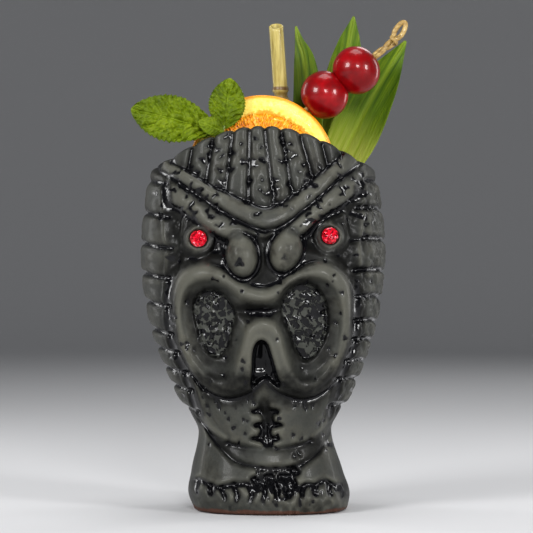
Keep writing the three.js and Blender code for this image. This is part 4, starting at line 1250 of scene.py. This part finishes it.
# %% Cherries
PICK_SLOPE = math.radians(38)
PICK_DIR = np.array([math.cos(PICK_SLOPE), 0, math.sin(PICK_SLOPE)])
PICK_SIDE, PICK_BACK = np.array([-math.sin(PICK_SLOPE), 0, math.cos(PICK_SLOPE)]), np.array([0, 1.0, 0])
PICK_ORIGIN = np.array([-8.85, -14.5, 154.46])
CHERRY_RADIUS, CHERRY_HALF, CHERRY_HOLE = 10.4, 8.7, 1.35
CHERRIES = {"lower_cherry": 40.71, "upper_cherry": 58.41}
PICK_END = 86.11
CHERRY_ROWS, CHERRY_AROUND = 64, 96


def cherry_finish():
    cherry = Finish("preserved_cherry")
    mottle, fine = cherry.noise(0.12, 3.0), cherry.noise(0.6, 2.0)
    colour = cherry.ramp(mottle, (0.3, (0.13, 0.0004, 0.002)), (0.55, (0.23, 0.0006, 0.003)),
                         (0.75, (0.34, 0.001, 0.007)))
    return cherry.surface(Base_Color=colour, Roughness=0.35, Specular_IOR_Level=0.2, Coat_Weight=0.35,
                          Coat_Roughness=0.06,
                          Subsurface_Weight=0.35, Subsurface_Radius=(0.006, 0.0006, 0.0008),
                          Normal=cherry.bump(mottle * 0.25 + fine * 0.03))


red_cherry = cherry_finish()
for index, (name, up) in enumerate(CHERRIES.items()):
    t = np.linspace(0.02, math.pi - 0.02, CHERRY_ROWS)[:, None]
    a = (2 * math.pi * np.arange(CHERRY_AROUND) / CHERRY_AROUND)[None, :]
    lobes = 1 + 0.02 * np.cos(a + 1.3 * index) + 0.012 * np.cos(2 * a + index) * np.sin(t)
    radius = np.maximum(CHERRY_RADIUS * np.sin(t) ** 0.98 * lobes, CHERRY_HOLE)
    ends = np.exp(-((np.sin(t) / 0.2) ** 2))
    reach = -CHERRY_RADIUS * np.cos(t)
    facing = 1 if name == "lower_cherry" else -1
    pressed = np.sign(reach) * np.minimum(np.abs(reach), CHERRY_HALF + 0.03 * np.abs(reach))
    pressed = np.where(reach * facing > 0, pressed, reach * 0.95)
    along = up + pressed * (1 - 0.08 * ends) + 0 * a
    skin = (PICK_ORIGIN + PICK_DIR * along[..., None]
            + PICK_SIDE * (radius * np.cos(a))[..., None] + PICK_BACK * (radius * np.sin(a))[..., None])
    faces = ring_faces(CHERRY_ROWS, CHERRY_AROUND)
    last = (CHERRY_ROWS - 1) * CHERRY_AROUND
    faces += [(last + j, last + (j + 1) % CHERRY_AROUND, (j + 1) % CHERRY_AROUND, j)
              for j in range(CHERRY_AROUND)]
    mesh_object(name + "_skin", skin.reshape(-1, 3), [f[::-1] for f in faces], "pick", [name],
                red_cherry)

# %% Pick


def swept(path, wide, thick, around=12, up=(0, 1, 0)):
    """Points of a closed strand along a path, with its own half width and half thickness."""
    path = np.array(path, float)
    ahead = np.gradient(path, axis=0)
    ahead /= np.linalg.norm(ahead, axis=1, keepdims=True)
    side = np.cross(ahead, up)
    side /= np.linalg.norm(side, axis=1, keepdims=True)
    over = np.cross(side, ahead)
    a = 2 * math.pi * np.arange(around) / around
    wide, thick = np.broadcast_to(wide, len(path)), np.broadcast_to(thick, len(path))
    ring = side[:, None] * (wide[:, None] * np.cos(a))[..., None]
    ring = ring + over[:, None] * (thick[:, None] * np.sin(a))[..., None]
    points = (path[:, None] + ring).reshape(-1, 3)
    faces = ring_faces(len(path), around)
    faces.append(tuple(range(around - 1, -1, -1)))
    faces.append(tuple(range(len(points) - around, len(points))))
    return points, faces


def joined(parts):
    """One list of points and faces from several."""
    points, faces, count = [], [], 0
    for some, around in parts:
        points.append(some)
        faces += [tuple(i + count for i in f) for f in around]
        count += len(some)
    return np.concatenate(points), faces


def on_pick(up, aside=0.0, back_by=0.0):
    return PICK_ORIGIN + PICK_DIR * up + PICK_SIDE * aside + PICK_BACK * back_by


PICK_START = PICK_END - 120.0
SHAFT_TOP, KNOT_UP = 68.6, 78.3
stations = np.linspace(PICK_START, SHAFT_TOP, 40)
shaft_wide = np.minimum(1.15, 0.15 + (stations - PICK_START) * 0.14)
strands = [swept([on_pick(up) for up in stations], shaft_wide, shaft_wide * 0.9, 14)]
# The splint's end is split in two halves, which lie side by side and cross once before the knot.
for which in (-1, 1):
    path = []
    for t in np.linspace(0, 1, 60):
        cross_over = math.cos(math.pi * smooth(0.35, 0.85, t))
        path.append(on_pick(blend(SHAFT_TOP - 1.5, KNOT_UP, t), which * (0.55 + 0.4 * t) * cross_over,
                            which * 0.8 * math.sin(math.pi * t)))
    strands.append(swept(path, 0.95, 0.6, 10))
# The loop is bent up from the line of the pick.
BEND = math.radians(21)
loop_ahead = PICK_DIR * math.cos(BEND) + PICK_SIDE * math.sin(BEND)
loop_side = PICK_SIDE * math.cos(BEND) - PICK_DIR * math.sin(BEND)
LOOP_LONG, LOOP_WIDE = 4.9, 1.75
knot = on_pick(KNOT_UP)
loop_path = []
for t in np.linspace(0, 2 * math.pi, 96):
    reach = LOOP_LONG * (1 - math.cos(t))
    pinch = 0.35 + 0.65 * smooth(0, 5, reach)
    loop_path.append(knot + loop_ahead * reach + loop_side * LOOP_WIDE * pinch * math.sin(t)
                     + PICK_BACK * 0.8 * math.cos(t * 0.5))
strands.append(swept(loop_path, 1.1, 0.7, 12))
# One tail winds round the neck of the loop, and is tucked under itself.
tie_path = []
for t in np.linspace(0, 1, 90):
    a = t * 3.4 * math.pi
    lift = blend(-1.2, 3.4, t)
    tie_path.append(knot + loop_ahead * lift + loop_side * 1.75 * math.cos(a)
                    + PICK_BACK * 1.65 * math.sin(a))
strands.append(swept(tie_path, 0.6, 0.9, 10, up=loop_ahead))
pick_points, pick_faces = joined(strands)


def splint_finish():
    splint = Finish("split_bamboo")
    grain = splint.noise(1.2, 3.0, 0.6, splint.stretched(0.25, 1, 1, turn=(0, PICK_SLOPE, 0)))
    patches = splint.noise(0.15, 2.0)
    colour = splint.ramp(grain * 0.7 + patches * 0.3, (0.3, (0.16, 0.09, 0.022)),
                         (0.5, (0.32, 0.21, 0.065)), (0.7, (0.50, 0.37, 0.15)))
    return splint.surface(Base_Color=colour, Roughness=0.5, Coat_Weight=0.1,
                          Normal=splint.bump(grain * 0.12))


mesh_object("knotted_splint", pick_points, pick_faces, "pick", ["knotted_pick"],
            splint_finish())

# %% [markdown]
# ## Pineapple leaves
# A pineapple leaf is a long stiff trough with a sharp point. Each is drawn from stations up its
# length: where its middle is and how wide it is there. Fine grooves and pale streaks run along it,
# and the foot of the leaf is nearly white where it was hidden in the crown.

# %% Pineapple leaves
# Height, x, y and half width at each station, in millimetres.
LEAVES = {
    "left": [(10, -5, 9.5, 4.5), (70, 3, 9.5, 5.5), (130, 12.5, 6.5, 6.5), (160, 15.8, 5, 6.8),
             (180, 16.2, 3.5, 6.3), (196, 14.8, 2.5, 4.6), (205, 12.4, 2, 1.9), (211, 11, 1.6, 0.4)],
    "middle": [(10, 1, 18, 4.5), (70, 8, 19, 6), (130, 17, 18, 7.2), (165, 25.5, 16.5, 8),
               (193, 32.8, 15, 7.4), (205, 35, 14, 5), (212, 36.2, 13.5, 2.3), (216.5, 36.9, 13, 0.4)],
    "right": [(10, 5, 14, 4), (80, 13, 14, 5.5), (130, 22.5, 12, 6.5), (146, 27.5, 11, 7),
              (156, 33, 10, 9.8), (165, 37.2, 8.5, 11), (177, 43, 6.5, 10.2), (190, 50.5, 4, 7),
              (204.5, 59.3, 1, 0.5)],
}
LEAF_TROUGH, LEAF_THICK = 0.22, 1.3
LEAF_ROWS, LEAF_ACROSS = 150, 29
# Below this height a leaf is hidden in the mug, and has fewer rows.
LEAF_SEEN, ROWS_IN_MUG = 140, 40
# Where each leaf turns from its pale foot to green: height of the change, and its length.
PALE_FOOT = {"left": (150, 14), "middle": (168, 20), "right": (163, 26)}


def leaf_finish(name):
    leaf = Finish(f"pineapple_leaf_{name}")
    across, along = leaf.attribute("across"), leaf.attribute("along")
    lines = leaf.node("ShaderNodeCombineXYZ", None, {0: across, 1: along * 0.045, 2: 0.0}).out()
    streak = leaf.node("ShaderNodeTexNoise", None, {"Vector": lines, "Scale": 0.75, "Detail": 4.0}).number()
    hair = leaf.node("ShaderNodeTexNoise", None, {"Vector": lines, "Scale": 3.2, "Detail": 2.0}).number()
    patches = leaf.noise(0.04, 3.0)
    green = leaf.ramp(streak * 0.7 + patches * 0.3, (0.32, (0.028, 0.070, 0.001)),
                      (0.5, (0.075, 0.135, 0.002)), (0.68, (0.16, 0.22, 0.005)))
    low, length = PALE_FOOT[name]
    pale = (along + (streak - 0.5) * 34).between(low + length * 0.5, low - length * 0.5)
    foot = leaf.ramp(streak, (0.35, (0.24, 0.31, 0.02)), (0.65, (0.56, 0.58, 0.14)))
    colour = leaf.mix(pale * 0.9, green, foot)
    middle = (across.size() + (hair - 0.5) * 1.0).between(1.6, 0.3)
    colour = leaf.mix(middle * 0.22, colour, (0.34, 0.42, 0.05))
    return leaf.surface(Base_Color=colour, Roughness=0.38 + hair * 0.12, Specular_IOR_Level=0.25,
                        Subsurface_Weight=0.1, Subsurface_Radius=(0.001, 0.002, 0.0004),
                        Normal=leaf.bump(streak * 0.35 + hair * 0.14))


def two_sided(top, bottom, rows, across):
    """Faces of a sheet with two skins, joined round its edge."""
    faces = ring_faces(rows, across, closed=False)
    count = rows * across
    faces += [tuple(i + count for i in f[::-1]) for f in ring_faces(rows, across, closed=False)]
    border = [(0, j) for j in range(across)] + [(i, across - 1) for i in range(1, rows)]
    border += [(rows - 1, j) for j in range(across - 2, -1, -1)] + [(i, 0) for i in range(rows - 2, 0, -1)]
    ids = [i * across + j for i, j in border]
    for a, b in zip(ids, ids[1:] + ids[:1]):
        faces.append((b, a, a + count, b + count))
    return np.concatenate([top.reshape(-1, 3), bottom.reshape(-1, 3)]), faces


for name, stations in LEAVES.items():
    st = np.array(stations, float)
    in_mug = np.linspace(st[0, 0], LEAF_SEEN, ROWS_IN_MUG, endpoint=False)
    z = np.concatenate([in_mug, np.linspace(LEAF_SEEN, st[-1, 0], LEAF_ROWS - ROWS_IN_MUG)])
    smooth_line = through(stations, steps=12)
    x, y, half = (np.interp(z, smooth_line[:, 0], smooth_line[:, k]) for k in (1, 2, 3))
    s = np.linspace(-1, 1, LEAF_ACROSS)[None, :]
    middle = np.stack([x, y, z], -1)
    ahead = np.gradient(middle, axis=0)
    ahead /= np.linalg.norm(ahead, axis=1, keepdims=True)
    side = np.cross((0, 1, 0), ahead)
    side /= np.linalg.norm(side, axis=1, keepdims=True)
    out = np.cross(side, ahead)
    out *= -np.sign(out[:, 1:2])
    dish = LEAF_TROUGH * half[:, None] * (s**2 - 0.35)
    wave = 0.25 * np.sin(z / 7.0)[:, None] * s**3 * smooth(0, 4, half)[:, None]
    spine = -0.35 * np.exp(-((s / 0.09) ** 2)) * smooth(0, 3, half)[:, None]
    thick = (0.28 + LEAF_THICK * (1 - s**2) * 0.5) * smooth(-1.5, 3, half)[:, None]
    sheet = middle[:, None] + side[:, None] * (half[:, None] * s)[..., None]
    front = sheet + out[:, None] * (dish + wave + spine + thick / 2)[..., None]
    rear = sheet + out[:, None] * (dish + wave + spine * 0.4 - thick / 2)[..., None]
    points, faces = two_sided(front, rear, LEAF_ROWS, LEAF_ACROSS)
    leaf = mesh_object(f"pineapple_{name}", points, faces, f"{name}_leaf", [f"pineapple_leaf_{name}"],
                       leaf_finish(name))
    face_outward(leaf)
    for label, values in (("across", half[:, None] * s), ("along", z[:, None] + 0 * s)):
        lay(leaf, label, np.tile(values.ravel(), 2))

# %% [markdown]
# ## Mint
# A mint leaf is quilted: its veins pull it down, the flesh between them swells up, and its edge is
# cut into small teeth. A smooth sheet with a picture of a leaf would look flat from the side, so
# the veins, the swellings and the teeth are all in the mesh.

# %% Mint leaves and stem
MINT = {
    "left": ((-22.8, -22.6, 163.6), (-60.2, -22.5, 173), (0, -0.12, -1), 10.6, 3.0),
    "upright": ((-20.2, -21.9, 164.6), (-17.6, -20.6, 186.5), (1, 0.02, 0.1), 8.2, 0.6),
    "front": ((-20.4, -24.6, 163.2), (-31, -28.4, 167.5), (-0.3, -0.2, -1), 4.2, 0.8),
    "inner": ((-18.6, -22.6, 157), (-4, -24, 156), (0.1, -0.1, -1), 4.6, 1.0),
}
VEINS = 8
MINT_ROWS, MINT_ACROSS = 150, 81


def mint_finish():
    mint = Finish("mint_leaf")
    vein, edge = mint.attribute("vein"), mint.attribute("edge")
    patches, fine = mint.noise(0.10, 3.0), mint.noise(0.9, 3.0)
    green = mint.ramp(patches * 0.6 + fine * 0.4, (0.3, (0.045, 0.072, 0.001)),
                      (0.5, (0.100, 0.145, 0.001)), (0.7, (0.17, 0.22, 0.004)))
    colour = mint.mix(vein * 0.38, green, (0.20, 0.27, 0.02))
    colour = mint.mix(edge * 0.25, colour, (0.03, 0.06, 0.002))
    wrinkles = mint.cells(0.55, "SMOOTH_F1", smoothness=0.6)
    return mint.surface(Base_Color=colour, Roughness=0.48 + fine * 0.15, Specular_IOR_Level=0.22,
                        Subsurface_Weight=0.08, Subsurface_Radius=(0.0008, 0.0015, 0.0003),
                        Normal=mint.bump(wrinkles * 0.5 + fine * 0.12))


MINT_FINISH = mint_finish()
for index, (name, (base, tip, across_way, half_wide, arch)) in enumerate(MINT.items()):
    base, tip = np.array(base, float), np.array(tip, float)
    forward = (tip - base) / np.linalg.norm(tip - base)
    side = np.array(across_way, float)
    side -= forward * (side @ forward)
    side /= np.linalg.norm(side)
    up = np.cross(side, forward)
    if up[1] > 0:
        up = -up
    length = np.linalg.norm(tip - base)
    t = np.linspace(0, 1, MINT_ROWS)[:, None]
    s = np.linspace(-1, 1, MINT_ACROSS)[None, :]
    blade = half_wide * np.sin(math.pi * t ** (1.15 if name == "left" else 0.95)) ** 0.66
    tooth = (t * VEINS * 2.2 - 0.5 * np.abs(s)) % 1
    teeth = 1 - 0.085 * tooth * smooth(0.08, 0.2, t) * smooth(1.0, 0.93, t)
    wide = np.maximum(0.6, blade * teeth)
    reach = t * length
    slope = t - 0.24 * np.abs(s) ** 1.3 + 0.012 * np.sin(5 * s + 9 * t)
    phase = (slope * VEINS + 0.5) % 1
    side_vein = np.exp(-(((np.abs(phase - 0.5)) / 0.13) ** 2)) * smooth(0.02, 0.12, np.abs(s))
    midrib = np.exp(-((s * wide / 0.5) ** 2))
    swell = np.sin(math.pi * phase) ** 2
    vein = np.maximum(midrib, side_vein * smooth(1.0, 0.8, np.abs(s)))
    size = smooth(0.0, 5.0, blade)
    pucker = lattice_noise(reach + 0 * s + 40 * index, s * wide, 1.7, 61 + index)
    bump = size * (0.7 * (1 - side_vein) * smooth(0, 0.3, np.abs(s)) + 0.75 * pucker - 0.8 * midrib)
    curl = 1.4 * size * np.sin(7 * t + 2 * index) * np.abs(s) ** 3
    fold = -0.10 * half_wide * np.abs(s) * size
    bow = arch * np.sin(math.pi * t)
    lift = bow + bump * half_wide / 9 + curl * half_wide / 10 + fold
    sheet = base + forward * reach[..., None] + side * (s * wide)[..., None]
    front = sheet + up * (lift + 0.25)[..., None]
    rear = sheet + up * (lift - 0.25)[..., None]
    points, faces = two_sided(front, rear, MINT_ROWS, MINT_ACROSS)
    leaf = mesh_object(f"mint_{name}", points, faces, "mint", [f"mint_leaf_{name}"], MINT_FINISH)
    face_outward(leaf)
    for label, values in (("vein", vein), ("edge", smooth(0.9, 1.0, np.abs(s)) + 0 * t)):
        lay(leaf, label, np.tile(np.broadcast_to(values, vein.shape).ravel(), 2))

stem_foot, stem_top = np.array([-14, -17, 10.0]), np.array([-21, -22.4, 163.0])
stem_path = [blend(stem_foot, stem_top, t) for t in np.linspace(0, 1, 60)]
parts = [swept(stem_path, 1.3 - 0.15 * np.cos(np.linspace(0, 9, 60) * 2), 1.25, 16)]
for base, tip, across_way, half_wide, arch in MINT.values():
    start = stem_top - (stem_top - stem_foot) * max(0.0, (stem_top[2] - base[2] - 1.2) / 153)
    joint = blend(np.array(base), np.array(tip), 0.06)
    parts.append(swept([blend(start, joint, t) for t in np.linspace(0, 1, 8)], 0.75, 0.7, 10,
                       up=(0.1, 0.7, 0.7)))
stem_points, stem_faces = joined(parts)


def stem_finish():
    stem = Finish("mint_stem")
    streak = stem.noise(0.8, 3.0, 0.6, stem.stretched(1, 1, 0.06))
    colour = stem.ramp(streak, (0.3, (0.08, 0.13, 0.01)), (0.7, (0.20, 0.26, 0.04)))
    return stem.surface(Base_Color=colour, Roughness=0.45, Coat_Weight=0.15,
                        Normal=stem.bump(streak * 0.15))


mesh_object("mint_stalk", stem_points, stem_faces, "mint", ["mint_stem"], stem_finish())

# %% [markdown]
# The dots of glue keep their measured shape, since only their edges can be seen, and get a clear,
# slightly yellow finish of their own.

# %% Glue
glue = Finish("clear_glue")
cloud = glue.noise(0.8, 2.0)
glue.surface(Base_Color=glue.ramp(cloud, (0.3, (0.55, 0.50, 0.38)), (0.7, (0.72, 0.68, 0.55))),
             Roughness=0.25, Normal=glue.bump(cloud * 0.1))
for side in ("left", "right"):
    dot = bpy.data.objects[f"{side}_eye_adhesive"]
    dot.data.materials.clear()
    dot.data.materials.append(glue.material)
    print(dot.name, "keeps its measured shape")

# %% [markdown]
# ## Studio
# The floor is a large pale dish that curves up far off, so no view of it has a horizon. A soft lamp
# hangs at the upper left, smaller ones in front and at the right give the wet places their glints,
# two narrow ones graze the sides from behind, and one lights the back.
# The camera is level with the mouth and far away, so the mug's sides stay upright.

# %% Floor, lamps and camera
# In metres, as is all of the studio.
FLAT_RADIUS, SWEEP_RADIUS, FLOOR_LEVEL = 2.0, 2.2, -0.0004
SWEEP_TURN, FLOOR_AROUND = math.radians(80), 96
profile = [(0.001, FLOOR_LEVEL), (FLAT_RADIUS, FLOOR_LEVEL)]
for turn in np.linspace(0, SWEEP_TURN, 24)[1:]:
    rise = SWEEP_RADIUS * (1 - math.cos(turn))
    profile.append((FLAT_RADIUS + SWEEP_RADIUS * math.sin(turn), FLOOR_LEVEL + rise))
floor_points = []
for radius, level in profile:
    for turn in np.linspace(0, 2 * math.pi, FLOOR_AROUND, endpoint=False):
        floor_points.append((radius * math.cos(turn), radius * math.sin(turn), level))
floor_mesh = bpy.data.meshes.new("floor")
floor_faces = [corners[::-1] for corners in ring_faces(len(profile), FLOOR_AROUND)]
floor_faces.append(tuple(range(FLOOR_AROUND)))
floor_mesh.from_pydata(floor_points, [], floor_faces)
floor_mesh.shade_smooth()
floor = bpy.data.objects.new("floor", floor_mesh)
paper = Finish("pale_paper")
floor.data.materials.append(paper.surface(Base_Color=(0.60, 0.60, 0.61, 1), Roughness=0.8))
bpy.context.scene.collection.objects.link(floor)
floor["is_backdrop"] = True

world = bpy.data.worlds.new("studio")
world.use_nodes = True
world.node_tree.nodes["Background"].inputs["Color"].default_value = (0.80, 0.82, 0.85, 1)
world.node_tree.nodes["Background"].inputs["Strength"].default_value = 0.17
bpy.context.scene.world = world

LOOK_AT = Vector((-0.0019, 0.0, 0.10535))
# Name, place in metres, width and height in metres, power in watts.
LAMPS = [
    ("left", (-0.90, -0.90, 0.60), 0.45, 0.45, 12.5),
    ("front", (0.16, -1.35, 0.52), 0.26, 0.26, 8.0),
    ("right", (1.00, -0.85, 0.42), 0.26, 0.45, 9.5),
    ("rim_left", (-0.60, 0.35, 0.25), 0.12, 0.60, 1.2),
    ("rim_right", (0.60, 0.35, 0.25), 0.12, 0.60, 1.2),
    ("top", (0.05, 0.05, 0.90), 0.40, 0.40, 2.0),
    ("back", (0.40, 1.10, 1.00), 0.50, 0.50, 2.5),
]
for name, at, wide, tall, power in LAMPS:
    lamp = bpy.data.lights.new(name, "AREA")
    lamp.shape, lamp.size, lamp.size_y, lamp.energy = "RECTANGLE", wide, tall, power
    stand = bpy.data.objects.new(name, lamp)
    stand.location = at
    stand.rotation_euler = (LOOK_AT - Vector(at)).to_track_quat("-Z", "Y").to_euler()
    bpy.context.scene.collection.objects.link(stand)
    stand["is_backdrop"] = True

eye = bpy.data.cameras.new("camera")
eye.lens, eye.sensor_width = 169.2, 36.0
camera = bpy.data.objects.new("camera", eye)
camera.location = (LOOK_AT.x, -1.1, LOOK_AT.z)
camera.rotation_euler = (math.radians(90), 0, 0)
bpy.context.scene.collection.objects.link(camera)
bpy.context.scene.camera = camera
bpy.context.scene.view_settings.view_transform = "Standard"
bpy.context.scene.view_settings.look = "Medium High Contrast"
print("lamps:", len(LAMPS), "camera at", tuple(round(v, 3) for v in camera.location))

# %% Finish
SIZES = {"cad": [list(corner) for corner in CAD_BOX], "scene": [list(corner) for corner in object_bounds()]}
